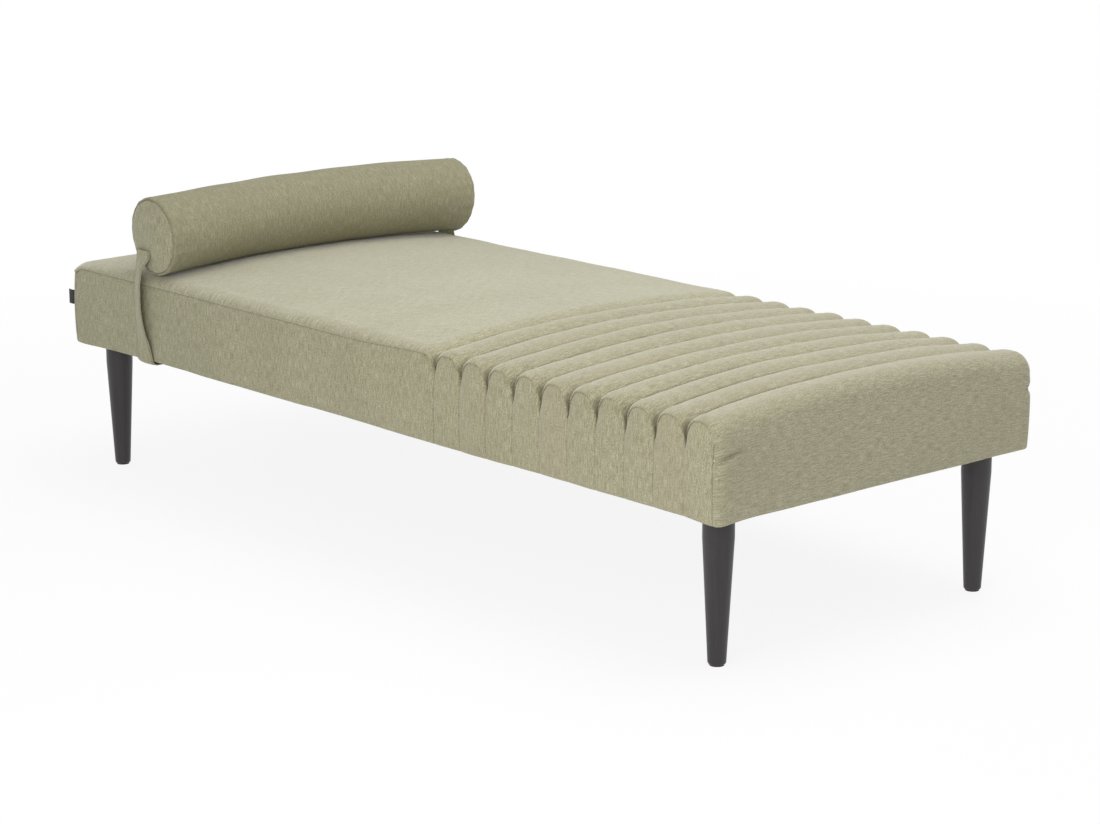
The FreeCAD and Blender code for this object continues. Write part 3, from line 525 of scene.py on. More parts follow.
def top_seam_and_shade():
    """Seam and painted shade share of the seat's vertices: 1 in a groove, where the stitched seam
    meets painted shade in the groove, less on the edge seams, and painted shade in the slits near the
    sides.
    """
    edge = EDGE_SHADE * fade(EDGE_ROLL * ROLL_ANGLES, SEAM_LINE)
    share = np.zeros((ROW_TOTAL, COLUMN_TOTAL))
    share[:len(edge)] = edge[:, None]
    share[-len(edge):] = edge[::-1][:, None]
    # Groove lines: the stitched seam with painted shade in the groove
    share = np.maximum(share, fade(GROOVE_GAPS, GROOVE_LINE)[None, :] ** 0.8)
    # Painted shade in the slits, wider and stronger near the sides
    depth = HALF_WIDTH - np.abs(ROWS)
    width = mix(SLIT_LINE, GROOVE_LINE, np.clip(depth / 0.03, 0, 1))
    shade = fade(GROOVE_GAPS[None, :], width[:, None])
    return np.maximum(share, shade * np.clip(1.25 - depth / 0.04, 0, 1)[:, None])


def wall_seam_and_shade():
    """Seam and painted shade share of the wall's vertices: painted shade in the slits and folds, dark
    joints uneven down the upright seams.
    """
    down = WALL[0][None, :, 2] - WALL[..., 2]
    trace = np.clip(0.36 + 0.22 * waves(RING_RUN, RING_RUN * 0, 31, 0.2), 0.12, 0.6)
    from_corner = np.abs(RING_RUN[:, None] - RING_RUN[[FOOT_START, FOOT_END]]).min(axis=1)
    trace = np.where(from_corner < 0.01, CORNER_SHADE, trace)
    top = EDGE_SHADE * fade(down, SEAM_LINE) * (1 - ON_FOOT)
    share = np.maximum(top, fade(SEAMS, SEAM_LINE) * trace)
    # Painted shade in the slits, strongest at their tops
    share = np.maximum(share, fade(SLITS, SLIT_HALF) * fade(down, SLIT_FALL))
    # Painted shade in the folds
    return np.maximum(share, FOLD_SHADE * np.clip(DENT / FOLD_DEPTH, 0, 1) ** 2)


TOP_UV = top_uv()
TOP_SEAM_AND_SHADE = top_seam_and_shade()
WALL_SEAM_AND_SHADE = wall_seam_and_shade()

# Runs of the wall: first and last column, the node replaced, and the cloth's offset
BACK_START = HEAD_START - FIRST_COLUMN
BORDERS = {
    "front_border": (0, FIRST_COLUMN, "border_front", 0.31),
    "front_channel_ends": (FIRST_COLUMN, FOOT_START, "border_channels_front", 0.83),
    "back_channel_ends": (FOOT_END, BACK_START, "border_channels_back", 0.57),
    "back_border": (BACK_START, HEAD_START, "border_back", 0.12),
    "head_border": (HEAD_START, len(RING), "border_head", 0.45),
}


def wall_piece(name, start, end, offset):
    """One border: a run of the wall's columns, with the yarn upright."""
    span = np.arange(start, end + 1)
    index = span % len(RING)
    points = WALL[:, index]
    run = np.where(span >= len(RING), RING_RUN[-1] + CLOSING_STEP, RING_RUN[index])
    down = run_length(points, 0)
    hem = points.shape[0] - HEM_ROWS
    upright = -points[..., 2] + offset * 0.37
    upright[hem:] = upright[hem - 1] + (down[hem:] - down[hem - 1])
    uv = np.stack([np.broadcast_to(run + offset, down.shape), upright], -1)
    return grid_piece(name, points, uv, WALL_SEAM_AND_SHADE[:, index])


def seat_panel():
    """Smooth half of the seat."""
    smooth = np.s_[:, :FIRST_COLUMN + 1]
    piece = grid_piece("seat_panel", SEAT[smooth], TOP_UV[smooth], TOP_SEAM_AND_SHADE[smooth])
    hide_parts("cover_seat_panel", "seat_foam")
    return piece


def channel_strips():
    """Channelled half of the seat, with the foot face that its last strip rolls down to."""
    foot = WALL[1:, FOOT_START:FOOT_END + 1].transpose(1, 0, 2)
    foot_run = run_length(np.concatenate([SEAT[:, -1:], foot], axis=1), 1)[ROW_TOTAL // 2, 1:]
    foot_uv = np.stack(np.meshgrid(TOP_UV[0, -1, 0] + foot_run, TOP_UV[:, 0, 1]), -1)
    # Seam share and painted shade of the folds on the foot face
    foot_seam_and_shade = WALL_SEAM_AND_SHADE[1:, FOOT_START:FOOT_END + 1].T
    points = np.concatenate([SEAT[:, FIRST_COLUMN:], foot], axis=1)
    uv = np.concatenate([TOP_UV[:, FIRST_COLUMN:], foot_uv], axis=1)
    seam = np.concatenate([TOP_SEAM_AND_SHADE[:, FIRST_COLUMN:], foot_seam_and_shade], axis=1)
    piece = grid_piece("channel_strips", points, uv, seam)
    names = ["cover_channel_%02d" % (rib + 1) for rib in range(RIB_COUNT - 1)]
    names += ["channel_pad_%02d" % (rib + 1) for rib in range(RIB_COUNT)]
    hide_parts("cover_foot_panel", *names)
    return piece


def upholstery():
    """Seat panel, channel strips and borders."""
    dressed = [(seat_panel(), seat_fabric), (channel_strips(), strip_fabric)]
    for name, (start, end, node, offset) in BORDERS.items():
        piece = wall_piece(name, start, end, offset)
        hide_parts(node)
        dressed.append((piece, fabric))
    for piece, cloth in dressed:
        upholster(piece, cloth)


# Bolster
TURNS = 160
LONG_SEAM = math.radians(140)


def bolster_frame(run):
    """Place across and height of the bolster's axis, and its turn, at a distance from the middle."""
    turn = run / BOLSTER_BOW
    y = BOLSTER_BOW * np.sin(turn)
    z = BOLSTER_TOP - BOLSTER_RADIUS - BOLSTER_BOW * (1 - np.cos(turn))
    return y, z, turn


def bolster_grid(profile, around):
    """Rings of points round the bowed axis from (distance along, radius) pairs."""
    run, radius = np.array(profile).T[..., None]
    y, z, turn = bolster_frame(run)
    angle = around[None, :]
    full = radius > 0.8 * BOLSTER_RADIUS
    pucker = BOLSTER_PUCKER * smoothstep(0.30, 0.352, np.abs(run)) * full
    girth = radius + pucker * np.sin(angle * 17 + np.sign(run) * 1.3) * np.sin(angle * 5)
    girth = girth + BOLSTER_WAVE * full * waves(run, np.sin(angle) * BOLSTER_RADIUS, 21, 0.16)
    x = BOLSTER_X + BOLSTER_SKEW * run + girth * np.cos(angle)
    up = girth * np.sin(angle)
    point_y = y + up * np.sin(turn)
    droop = BOLSTER_DROOP * (run / BOLSTER_HALF) ** 2 * np.clip(-np.sin(angle), 0, 1)
    point_z = z + up * np.cos(turn) - droop
    rest = crown(point_y) + BOLSTER_REST
    pressed = (np.abs(point_y) < HALF_WIDTH - 0.02) & (point_z < rest)
    return np.stack(np.broadcast_arrays(x, point_y, np.where(pressed, rest, point_z)), -1)


def bolster_profile():
    """Distance along and radius of the sleeve, from one rim seam to the other."""
    end = [(BOLSTER_HALF - RIM_TUCK, RIM_SEAM), (BOLSTER_HALF + 0.0002, RIM_SEAM + 0.0006)]
    for degrees in (90, 80, 68, 54, 40, 26, 13, 0):
        turn = math.radians(degrees)
        end.append((BOLSTER_HALF - RIM_ROUND * (1 - math.sin(turn)) * 1.1,
                    BOLSTER_RADIUS - RIM_ROUND * (1 - math.cos(turn))))
    middle = np.linspace(BOLSTER_HALF - 0.012, -BOLSTER_HALF + 0.012, 74)
    body = [(run, BOLSTER_RADIUS - 0.0008 * (run / BOLSTER_HALF) ** 2) for run in middle]
    return end + body + [(-run, radius) for run, radius in end[::-1]]


def cap_profile():
    """Distance along and radius of a cap, from its seam to its middle."""
    points = [(BOLSTER_HALF - RIM_TUCK, RIM_SEAM), (BOLSTER_HALF + 0.0006, RIM_SEAM - 0.0007)]
    for share in np.linspace(0.97, 0.0, 18):
        points.append((BOLSTER_HALF + 0.0010 + CAP_BULGE * (1 - share ** 2), RIM_SEAM * share))
    return points


def bolster_cap(side, name, around):
    """Round cap on one end."""
    disc = bolster_grid([(side * run, radius) for run, radius in cap_profile()], around)
    flat = np.stack([disc[..., 0], disc[..., 2]], -1) + 0.3 * side
    seam = np.zeros(disc.shape[:2])
    seam[0], seam[1] = RIM_SHADES
    cap = grid_piece("bolster_cap_cloth_" + name, disc, flat, seam, body="bolster")
    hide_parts("bolster_cap_" + name)
    return cap


def bolster():
    """Sleeve with a long seam low on the head side, and two caps."""
    around = np.linspace(0, 2 * math.pi, TURNS + 1) - LONG_SEAM
    profile = bolster_profile()
    points = bolster_grid(profile, around)
    girth = np.arange(TURNS + 1) / TURNS * 2 * math.pi * BOLSTER_RADIUS
    uv = np.stack(np.meshgrid(run_length(np.array(profile), 0), girth, indexing="ij"), -1)
    seam = np.zeros(points.shape[:2])
    seam[:, [0, -1]] = RIM_SHADES[0]
    seam[[0, -1]] = RIM_SHADES[0]
    seam[[1, -2]] = RIM_SHADES[1]
    sleeve = grid_piece("bolster_sleeve_cloth", points, uv, seam, body="bolster")
    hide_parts("bolster_sleeve", "bolster_core")
    caps = [bolster_cap(side, name, around) for side, name in ((1, "back"), (-1, "front"))]
    upholster(sleeve, bolster_fabric)
    for cap in caps:
        upholster(cap, fabric)


# Strap: stations down one side as (left x, left y, right x, right y, z), y outwards
STRAP_STATIONS = (
    (-0.6560, 0.3742, -0.6140, 0.3742, 0.4650),
    (-0.6565, 0.3738, -0.6135, 0.3738, 0.4580),
    (-0.6580, 0.3730, -0.6150, 0.3742, 0.4490),
    (-0.6620, 0.3718, -0.6220, 0.3765, 0.4400),
    (-0.6665, 0.3705, -0.6310, 0.3795, 0.4290),
    (-0.6690, 0.3690, -0.6340, 0.3810, 0.4160),
    (-0.6700, 0.3700, -0.6335, 0.3840, 0.4000),
    (-0.6705, 0.3705, -0.6330, 0.3850, 0.3820),
    (-0.6710, 0.3710, -0.6320, 0.3855, 0.3600),
    (-0.6700, 0.3715, -0.6290, 0.3850, 0.3350),
    (-0.6680, 0.3715, -0.6250, 0.3825, 0.3100),
    (-0.6680, 0.3715, -0.6200, 0.3765, 0.2850),
    (-0.6700, 0.3705, -0.6180, 0.3725, 0.2640),
    (-0.6715, 0.3685, -0.6180, 0.3690, 0.2500),
    (-0.6715, 0.3605, -0.6185, 0.3605, 0.2446),
    (-0.6710, 0.3400, -0.6190, 0.3400, 0.2440),
)
STRAP_UNDER = (-0.6700, -0.6195, 0.2436)
STRAP_ROWS = 330
STRAP_THICKNESS = 0.0022
STRAP_WIDTH = 0.05
STRAP_CUP = 0.0013


def smooth_run(points, count):
    """Catmull-Rom curve through rows of values, resampled to count rows of even length."""
    points = np.asarray(points, float)
    before, beyond = 2 * points[:1] - points[1:2], 2 * points[-1:] - points[-2:-1]
    padded = np.concatenate([before, points, beyond])
    fine = []
    for k in range(len(points) - 1):
        a, b, c, d = padded[k:k + 4]
        for t in np.linspace(0, 1, 16, endpoint=False):
            fine.append(0.5 * (2 * b + (c - a) * t + (2 * a - 5 * b + 4 * c - d) * t ** 2
                               + (3 * b - a - 3 * c + d) * t ** 3))
    fine = np.asarray(fine + [points[-1]])
    run = run_length(fine, 0)
    even = np.linspace(0, run[-1], count)
    return np.stack([np.interp(even, run, column) for column in fine.T], -1)


def strap_edges():
    """Left and right edges of the strap, from the front cap under the bed to the back cap."""
    side = [(left_x, -left_y, z, right_x, -right_y, z)
            for left_x, left_y, right_x, right_y, z in STRAP_STATIONS]
    mirror = [(a, -b, c, d, -e, f) for a, b, c, d, e, f in side[::-1]]
    left_x, right_x, low = STRAP_UNDER
    under = [(left_x, y, low, right_x, y, low) for y in (-0.2, 0.0, 0.2)]
    rows = smooth_run(side + under + mirror, STRAP_ROWS)
    return rows[:, :3], rows[:, 3:]


def strap():
    """Folded cloth strap as a thin closed band."""
    left, right = strap_edges()
    width = right - left
    middle = (left + right) / 2
    normal = np.cross(np.gradient(middle, axis=0), width)
    normal /= np.linalg.norm(normal, axis=1, keepdims=True)
    shares = np.linspace(0, 1, 15)
    run = run_length(middle, 0)
    cup = STRAP_CUP * np.sin(math.pi * shares)[None, :] * (1 + 0.4 * np.sin(run * 31)[:, None])
    surface = left[:, None] + width[:, None] * shares[None, :, None]
    surface = surface + normal[:, None] * cup[..., None]
    edge = np.sqrt(np.clip(1 - (2 * shares - 1) ** 8, 0.05, 1))
    half = normal[:, None] * (STRAP_THICKNESS / 2) * edge[None, :, None]
    outline = np.concatenate([surface + half, (surface - half)[:, ::-1]], axis=1)
    over = np.concatenate([shares, 2 - shares[::-1]]) * STRAP_WIDTH
    uv = np.stack(np.meshgrid(run, over, indexing="ij"), -1)[..., ::-1]
    stitched = (shares > 0.05) & (shares < 0.1) | (shares > 0.9) & (shares < 0.95)
    line = stitched * STITCH_SHADE
    seam = np.zeros(outline.shape[:2]) + np.concatenate([line, line[::-1]])
    band = grid_piece("bolster_strap", outline, uv, seam, closed=True, body="bolster")
    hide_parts("strap_front", "strap_under", "strap_back")
    band.data.materials.append(fabric)


# Label and dust cover
LABEL_THICK = 0.0006
LABEL_BEND = 0.0016
LEG_ROOM = 0.002
OPENING_RIM = 0.009
DUST_SLACK = 0.0022
DUST_WAVE = 0.0009


def label_outline():
    """The folded label in plan: out along one face, round the fold and back along the other."""
    along = np.linspace(0, 1, 22)
    x = LABEL_HIGH.x - along * (LABEL_HIGH.x - LABEL_LOW.x - LABEL_THICK)
    y = (LABEL_LOW.y + LABEL_HIGH.y) / 2 - LABEL_BEND * np.sin(along * math.pi * 0.9)
    front = np.stack([x, y - LABEL_THICK * np.sqrt(along)], -1)
    back = np.stack([x, y + LABEL_THICK * np.sqrt(along)], -1)[::-1]
    turn = np.linspace(-math.pi / 2, math.pi / 2, 7)[1:-1]
    tip = (front[-1] + back[0]) / 2
    fold = np.stack([tip[0] - LABEL_THICK * np.cos(turn), tip[1] + LABEL_THICK * np.sin(turn)], -1)
    return np.concatenate([front, fold, back])


def label():
    """Blank woven label folded over on itself and caught in the corner seam."""
    outline = label_outline()
    up = np.linspace(LABEL_LOW.z, LABEL_HIGH.z, 15)
    points = np.zeros((len(up), len(outline), 3))
    points[..., :2] = outline[None]
    points[..., 2] = up[:, None]
    run = run_length(outline, 0)
    uv = np.stack(np.meshgrid(run, up), -1)
    tag = grid_piece("side_label", points, uv, np.zeros(points.shape[:2]))
    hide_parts("label_tag")
    tag.data.materials.append(label_cloth)


def leg_openings(x, y):
    """Moves grid points out to the rim of the openings round the legs, and marks those inside."""
    leg_low, leg_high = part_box("leg_foot_front")
    leg_x, leg_y = (leg_low.x + leg_high.x) / 2, abs(leg_low.y + leg_high.y) / 2
    opening = (leg_high.x - leg_low.x) / 2 + LEG_ROOM
    inside = np.zeros(x.shape, bool)
    for side_x, side_y in ((-1, -1), (-1, 1), (1, -1), (1, 1)):
        away_x, away_y = x - side_x * leg_x, y - side_y * leg_y
        distance = np.hypot(away_x, away_y) + 1e-9
        within = distance < opening
        inside |= distance < opening - OPENING_RIM
        x = np.where(within, side_x * leg_x + away_x / distance * opening, x)
        y = np.where(within, side_y * leg_y + away_y / distance * opening, y)
    return x, y, inside


def dust_cover():
    """Thin cloth under the frame, slack between its staples, open round the legs."""
    low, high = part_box("dust_cover")
    grid = np.meshgrid(np.linspace(low.x, high.x, 181), np.linspace(low.y, high.y, 75))
    x, y, inside = leg_openings(*grid)
    slack = smoothstep(0.01, 0.12, np.minimum(high.x - np.abs(x), high.y - np.abs(y)))
    z = low.z - DUST_SLACK * slack + DUST_WAVE * slack * waves(x, y, 5, 0.17)
    points = np.stack([x, y, z], -1).reshape(-1, 3)
    faces = grid_faces(*x.shape)
    faces = faces[~inside.ravel()[faces].any(axis=1)]
    cloth = mesh_piece("dust_cover_cloth", points, faces, points[:, :2], np.zeros(len(points)))
    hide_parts("dust_cover")
    cloth.data.materials.append(dust_cloth)


# Materials
def shader(name, colour, roughness, metallic=0.0):
    """Material with one principled shader whose plain values are set on its own sockets."""
    material = bpy.data.materials.new(name)
    material.use_nodes = True
    principled = material.node_tree.nodes["Principled BSDF"]
    principled.inputs["Base Color"].default_value = (*colour, 1)
    principled.inputs["Roughness"].default_value = roughness
    principled.inputs["Metallic"].default_value = metallic
    return material, principled


def linear(red, green, blue):
    """Linear colour from 8-bit display values."""
    return tuple(((value / 255 + 0.055) / 1.055) ** 2.4 for value in (red, green, blue))


def add(owner, kind, **values):
    """New node: p_ sets a property, i_ a socket by number, and any other word a socket by name."""
    tree = owner.node_tree
    made = tree.nodes.new(kind)
    for key, value in values.items():
        if key.startswith("p_"):
            setattr(made, key[2:], value)
            continue
        socket = made.inputs[int(key[2:]) if key.startswith("i_") else key.replace("_", " ")]
        if isinstance(value, bpy.types.NodeSocket):
            tree.links.new(value, socket)
        else:
            socket.default_value = value
    return made


def coordinates(material, from_uv, scale):
    """Scaled coordinates: the cloth's own, or the object's."""
    if from_uv:
        source = add(material, "ShaderNodeUVMap", p_uv_map="cloth").outputs["UV"]
    else:
        source = add(material, "ShaderNodeTexCoord").outputs["Object"]
    return add(material, "ShaderNodeMapping", Vector=source, Scale=scale).outputs["Vector"]


def grain(material, from_uv, scale, detail=2.0, roughness=0.55):
    """Noise value over stretched coordinates."""
    where = coordinates(material, from_uv, scale)
    return add(material, "ShaderNodeTexNoise", Vector=where, Scale=1.0, Detail=detail,
               Roughness=roughness).outputs["Fac"]


def ramp(material, value, low, high, out_low=0.0, out_high=1.0):
    """Value remapped between two limits, clamped."""
    return add(material, "ShaderNodeMapRange", Value=value, From_Min=low, From_Max=high,
               To_Min=out_low, To_Max=out_high).outputs["Result"]


def tint(material, share, colour_a, colour_b):
    """Colour between two by a share."""
    made = add(material, "ShaderNodeMix", p_data_type="RGBA")
    tree = material.node_tree
    tree.links.new(share, made.inputs["Factor"])
    for socket, value in (("A_Color", colour_a), ("B_Color", colour_b)):
        target = next(item for item in made.inputs if item.identifier == socket)
        if isinstance(value, bpy.types.NodeSocket):
            tree.links.new(value, target)
        else:
            target.default_value = (*value, 1)
    return next(item for item in made.outputs if item.identifier == "Result_Color")


def calculate(owner, operation, a, b):
    """Two values joined by a math node."""
    return add(owner, "ShaderNodeMath", p_operation=operation, i_0=a, i_1=b).outputs[0]


def bump(material, principled, height, strength, distance):
    """Bump on the shader's normal."""
    made = add(material, "ShaderNodeBump", Height=height, Strength=strength, Distance=distance)
    material.node_tree.links.new(made.outputs["Normal"], principled.inputs["Normal"])


def set_colour(material, principled, colour):
    """Links a colour to the shader."""
    material.node_tree.links.new(colour, principled.inputs["Base Color"])


# Colours of the chenille's yarns, in 8-bit display values: body, light, dark and beige, and the dark
# colour drawn on seams, which is also painted shade in the slits, grooves and folds
YARN_BODY = (166, 162, 131)
YARN_LIGHT = ((166, 162, 137), 39)
YARN_DARK = ((166, 162, 132), -43)
YARN_BEIGE = (176, 164, 140)
# Dark seam colour, also used as painted shade in the slits, grooves and folds
SEAM_AND_SHADE_COLOUR = (74, 70, 48)


def melange(material, base, light, dark):
    """Body colour with flecks and streaks of the light and dark yarn, and the two noises."""
    streak = grain(material, True, (620.0, 55.0, 1.0), 2.0, 0.6)
    fleck = grain(material, True, (760.0, 330.0, 1.0), 1.0, 0.5)
    patch = grain(material, True, (150.0, 26.0, 1.0), 2.0, 0.5)
    broad = grain(material, True, (9.0, 4.0, 1.0), 2.0, 0.5)
    steps = (
        (fleck, 0.54, 0.72, 0.0, 0.9, light),
        (fleck, 0.28, 0.46, 0.9, 0.0, dark),
        (streak, 0.50, 0.66, 0.0, 0.5, light),
        (streak, 0.34, 0.50, 0.5, 0.0, dark),
        (patch, 0.36, 0.52, 0.16, 0.0, dark),
        (broad, 0.40, 0.70, 0.0, 0.12, dark),
    )
    colour = base
    for noise, low, high, out_low, out_high, yarn in steps:
        colour = tint(material, ramp(material, noise, low, high, out_low, out_high), colour, yarn)
    return colour, streak, fleck


def chenille(name, shade, sheen, crinkle, spread=1.0):
    """Melange chenille: fine streaks along the yarn, light and dark flecks, and a soft weave."""
    # shade makes the whole cloth lighter or darker: painted light and shade between the seat, strip,
    # side and bolster copies
    base = linear(*(value * shade for value in YARN_BODY))
    light, dark = (linear(*((value + shift * spread) * shade for value in colour))
                   for colour, shift in (YARN_LIGHT, YARN_DARK))
    beige = linear(*(value * shade for value in YARN_BEIGE))
    material, principled = shader(name, base, 0.92)
    principled.inputs["Sheen Weight"].default_value = sheen
    principled.inputs["Sheen Roughness"].default_value = 0.5
    principled.inputs["Sheen Tint"].default_value = (*linear(252, 250, 240), 1)
    principled.inputs["Specular IOR Level"].default_value = 0.2
    colour, streak, fleck = melange(material, base, light, dark)
    tone = add(material, "ShaderNodeAttribute", p_attribute_name="tone").outputs["Fac"]
    colour = tint(material, calculate(material, "MULTIPLY", tone, 0.3), colour, beige)
    # The seam share draws the cloth towards the dark seam colour: dark joints on seams and stitches,
    # painted shade in the slits, grooves and folds
    mark = add(material, "ShaderNodeAttribute", p_attribute_name="seam").outputs["Fac"]
    seam = calculate(material, "MULTIPLY", mark, 0.85)
    set_colour(material, principled, tint(material, seam, colour, linear(*SEAM_AND_SHADE_COLOUR)))
    yarn = add(material, "ShaderNodeTexWave", Vector=coordinates(material, True, (1.0, 1.0, 1.0)),
               Scale=180.0, Distortion=2.5, Detail=2.0, Detail_Scale=1.5).outputs["Fac"]
    rumple = grain(material, True, (46.0, 62.0, 1.0), 3.0, 0.6)
    height = streak
    for noise, weight in ((yarn, 0.35), (fleck, 0.6), (rumple, crinkle)):
        part = calculate(material, "MULTIPLY", noise, weight)
        height = calculate(material, "ADD", height, part)
    bump(material, principled, height, 0.45, 0.0009)
    return material


def plain_cloth(name, colour, weave, sheen):
    """Plain woven cloth in the cloth's own coordinates."""
    material, principled = shader(name, colour, 0.85)
    principled.inputs["Sheen Weight"].default_value = sheen
    threads = [add(material, "ShaderNodeTexWave", p_bands_direction=way, Scale=weave, Distortion=0.6,
                   Vector=coordinates(material, True, (1.0, 1.0, 1.0))).outputs["Fac"]
               for way in "XY"]
    height = calculate(material, "MULTIPLY", *threads)
    mottle = grain(material, True, (60.0, 60.0, 1.0))
    shade = tuple(min(1.0, value * 1.7 + 0.012) for value in colour)
    set_colour(material, principled, tint(material, ramp(material, mottle, 0.35, 0.7), colour, shade))
    bump(material, principled, height, 0.5, 0.0004)
    return material


def stained_wood():
    """Dark stained wood with the grain down the leg under a satin lacquer."""
    dark = linear(29, 26, 27)
    light = linear(49, 43, 42)
    material, principled = shader("dark_wood", dark, 0.42)
    principled.inputs["Coat Weight"].default_value = 0.15
    principled.inputs["Coat Roughness"].default_value = 0.35
    fine = grain(material, False, (420.0, 420.0, 11.0), 4.0, 0.6)
    bands = grain(material, False, (70.0, 70.0, 2.2), 3.0, 0.5)
    share = calculate(material, "ADD", ramp(material, fine, 0.40, 0.66, 0.0, 0.5),
                      ramp(material, bands, 0.40, 0.65, 0.0, 0.4))
    set_colour(material, principled, tint(material, share, dark, light))
    gloss = ramp(material, fine, 0.3, 0.7, 0.38, 0.52)
    material.node_tree.links.new(gloss, principled.inputs["Roughness"])
    bump(material, principled, fine, 0.25, 0.0004)
    return material


def solid_material(name, colour, roughness, scale, strength, spread, metallic=0.0):
    """Plain solid with fine grain in colour and bump."""
    material, principled = shader(name, colour, roughness, metallic)
    value = grain(material, False, scale, 3.0)
    low = tuple(part * (1 - spread) for part in colour)
    high = tuple(min(1.0, part * (1 + spread)) for part in colour)
    set_colour(material, principled, tint(material, ramp(material, value, 0.3, 0.7), low, high))
    bump(material, principled, value, strength, 0.0006)
    return material


# Plain solids: colour, roughness, scale of the grain, strength of the bump, spread of the colour
SOLIDS = {
    "foam_cream": ((226, 214, 176), 0.9, (900.0, 900.0, 900.0), 0.5, 0.08),
    "felt_grey": ((126, 124, 120), 0.95, (500.0, 500.0, 500.0), 0.6, 0.3),
    "wadding_white": ((232, 231, 226), 0.95, (260.0, 260.0, 260.0), 0.7, 0.05),
    "pine_timber": ((205, 170, 120), 0.7, (14.0, 260.0, 260.0), 0.3, 0.16),
    "plywood_board": ((196, 160, 112), 0.65, (30.0, 300.0, 300.0), 0.3, 0.16),
    "webbing_black": ((38, 36, 38), 0.85, (900.0, 300.0, 300.0), 0.6, 0.4),
    "zinc_steel": ((186, 186, 184), 0.35, (800.0, 800.0, 800.0), 0.1, 0.06, 1.0),
    "glide_black": ((30, 30, 31), 0.55, (700.0, 700.0, 700.0), 0.15, 0.2),
}

# Lighter and darker copies of one chenille: their shade factors are painted light and shade for how
# the lamps fall, lightest on the seat top and darkest on the bolster, whose darkness is partly its
# nap's own direction and partly painted shade
fabric = chenille("chenille_side", 0.99, 0.35, 1.2)
seat_fabric = chenille("chenille_seat", 1.0, 0.65, 3.6)
strip_fabric = chenille("chenille_strip", 0.975, 0.6, 3.0)
bolster_fabric = chenille("chenille_bolster", 0.90, 0.12, 1.2, 0.72)
dust_cloth = plain_cloth("dust_cloth_black", linear(34, 34, 35), 260.0, 0.1)
label_cloth = plain_cloth("label_black", linear(14, 14, 15), 420.0, 0.15)
wood = stained_wood()
solid = {name: solid_material(name, linear(*colour), *values)
         for name, (colour, *values) in SOLIDS.items()}

# Material of each CAD node, by the start of its name
NODE_MATERIALS = {
    "base_foam": solid["foam_cream"],
    "seat_foam": solid["foam_cream"],
    "channel_pad": solid["foam_cream"],
    "bolster_core": solid["wadding_white"],
    "frame_wadding": solid["wadding_white"],
    "felt_pad": solid["felt_grey"],
    "webbing_belts": solid["webbing_black"],
    "rail": solid["pine_timber"],
    "cross_rail": solid["pine_timber"],
    "block": solid["plywood_board"],
    "leg_bolts": solid["zinc_steel"],
    "leg_t_nuts": solid["zinc_steel"],
    "frame_screws": solid["zinc_steel"],
    "hem_staples": solid["zinc_steel"],
    "floor_glides": solid["glide_black"],
    "leg_head": wood,
    "leg_foot": wood,
    "cover": fabric,
    "border": fabric,
    "bolster": fabric,
    "strap": fabric,
    "label_tag": label_cloth,
    "dust_cover": dust_cloth,
}


def dress_nodes():
    """Gives each CAD node the material of the longest name that it starts with."""
    for name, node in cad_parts.items():
        key = max((key for key in NODE_MATERIALS if name.startswith(key)), key=len)
        for slot in node.material_slots:
            slot.material = NODE_MATERIALS[key]
        if not node.material_slots:
            node.data.materials.append(NODE_MATERIALS[key])


# Studio. Lamps: place, aim, size and power
WORLD_LIGHT = 0.47
LAMPS = {
    "overhead_lamp": ((0.5, 0.5, 2.7), (0.1, 0.0, 0.4), (2.4, 2.0), 42.0),
    "front_fill": ((1.75, -2.7, 1.5), (0.5, 0.0, 0.3), (1.6, 1.2), 36.0),
}
FLOOR_REACH = 14.0
PAPER_NEAR = 0.88
PAPER_EDGES = (0.9, 2.6)
LENS = 96.93
CAMERA_PLACE = (3.9809, -3.4191, 1.474)
CAMERA_AIM = (0.0968, 0.0, 0.2249)


def seen_rays(owner):
    """1 for rays from the camera and for rays that a mirror or glass sends on, else 0."""
    path = add(owner, "ShaderNodeLightPath").outputs
    mirrored = calculate(owner, "MAXIMUM", path["Is Glossy Ray"], path["Is Transmission Ray"])
    return calculate(owner, "MAXIMUM", path["Is Camera Ray"], mirrored)


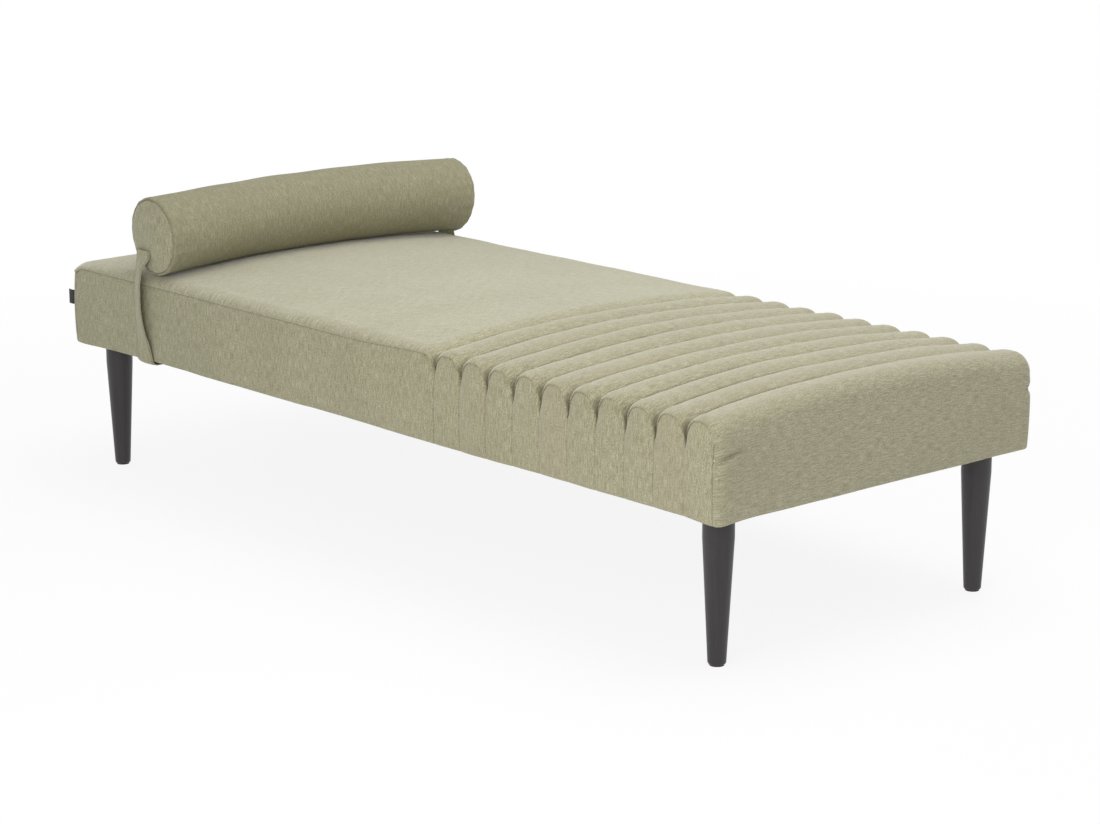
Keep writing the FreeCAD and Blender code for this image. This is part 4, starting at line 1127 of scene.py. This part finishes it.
def floor():
    """Pale paper floor, which is seen as white away from the object."""
    mesh = bpy.data.meshes.new("studio_floor")
    signs = ((-1, -1), (1, -1), (1, 1), (-1, 1))
    mesh.from_pydata([(x * FLOOR_REACH, y * FLOOR_REACH, 0) for x, y in signs], [], [(0, 1, 2, 3)])
    paper = bpy.data.objects.new("studio_floor", mesh)
    bpy.context.scene.collection.objects.link(paper)
    material, principled = shader("studio_paper", (0.92, 0.92, 0.92), 0.9)
    mottle = grain(material, False, (3.0, 3.0, 3.0))
    set_colour(material, principled, tint(material, mottle, (0.91, 0.91, 0.91), (0.93, 0.93, 0.93)))
    where = add(material, "ShaderNodeTexCoord").outputs["Object"]
    away = add(material, "ShaderNodeVectorMath", p_operation="LENGTH", i_0=where).outputs["Value"]
    share = ramp(material, away, *PAPER_EDGES, PAPER_NEAR, 1.0)
    white = add(material, "ShaderNodeEmission", Color=(1, 1, 1, 1), Strength=1.0)
    chooser = add(material, "ShaderNodeMixShader",
                  Fac=calculate(material, "MULTIPLY", share, seen_rays(material)),
                  i_1=principled.outputs["BSDF"], i_2=white.outputs["Emission"])
    tree = material.node_tree
    tree.links.new(chooser.outputs["Shader"], tree.nodes["Material Output"].inputs["Surface"])
    mesh.materials.append(material)


def white_world():
    """Even light from all round, seen as white by the camera and in reflections."""
    world = bpy.data.worlds.new("studio")
    world.use_nodes = True
    bpy.context.scene.world = world
    tree = world.node_tree
    lit = tree.nodes["Background"]
    lit.inputs["Color"].default_value = (1, 1, 1, 1)
    lit.inputs["Strength"].default_value = WORLD_LIGHT
    white = add(world, "ShaderNodeBackground", Color=(1, 1, 1, 1))
    chooser = add(world, "ShaderNodeMixShader", i_0=seen_rays(world),
                  i_1=lit.outputs["Background"], i_2=white.outputs["Background"])
    tree.links.new(chooser.outputs["Shader"], tree.nodes["World Output"].inputs["Surface"])


def set_up(name, data, place, aim):
    """Puts a lamp or camera in its place, looking at a point."""
    made = bpy.data.objects.new(name, data)
    bpy.context.scene.collection.objects.link(made)
    made.location = place
    made.rotation_euler = (Vector(aim) - Vector(place)).to_track_quat("-Z", "Y").to_euler()
    return made


def lamps():
    """Soft area lamps."""
    for name, (place, aim, size, power) in LAMPS.items():
        light = bpy.data.lights.new(name, "AREA")
        light.shape = "RECTANGLE"
        light.size, light.size_y = size
        light.energy = power
        set_up(name, light, place, aim)


def camera():
    """Camera at the photograph's place."""
    data = bpy.data.cameras.new("camera")
    data.lens = LENS
    data.sensor_width = 36.0
    data.clip_end = 100.0
    bpy.context.scene.camera = set_up("camera", data, CAMERA_PLACE, CAMERA_AIM)


dress_nodes()
upholstery()
bolster()
strap()
label()
dust_cover()
floor()
white_world()
lamps()
camera()
bpy.context.scene.view_settings.view_transform = "Standard"
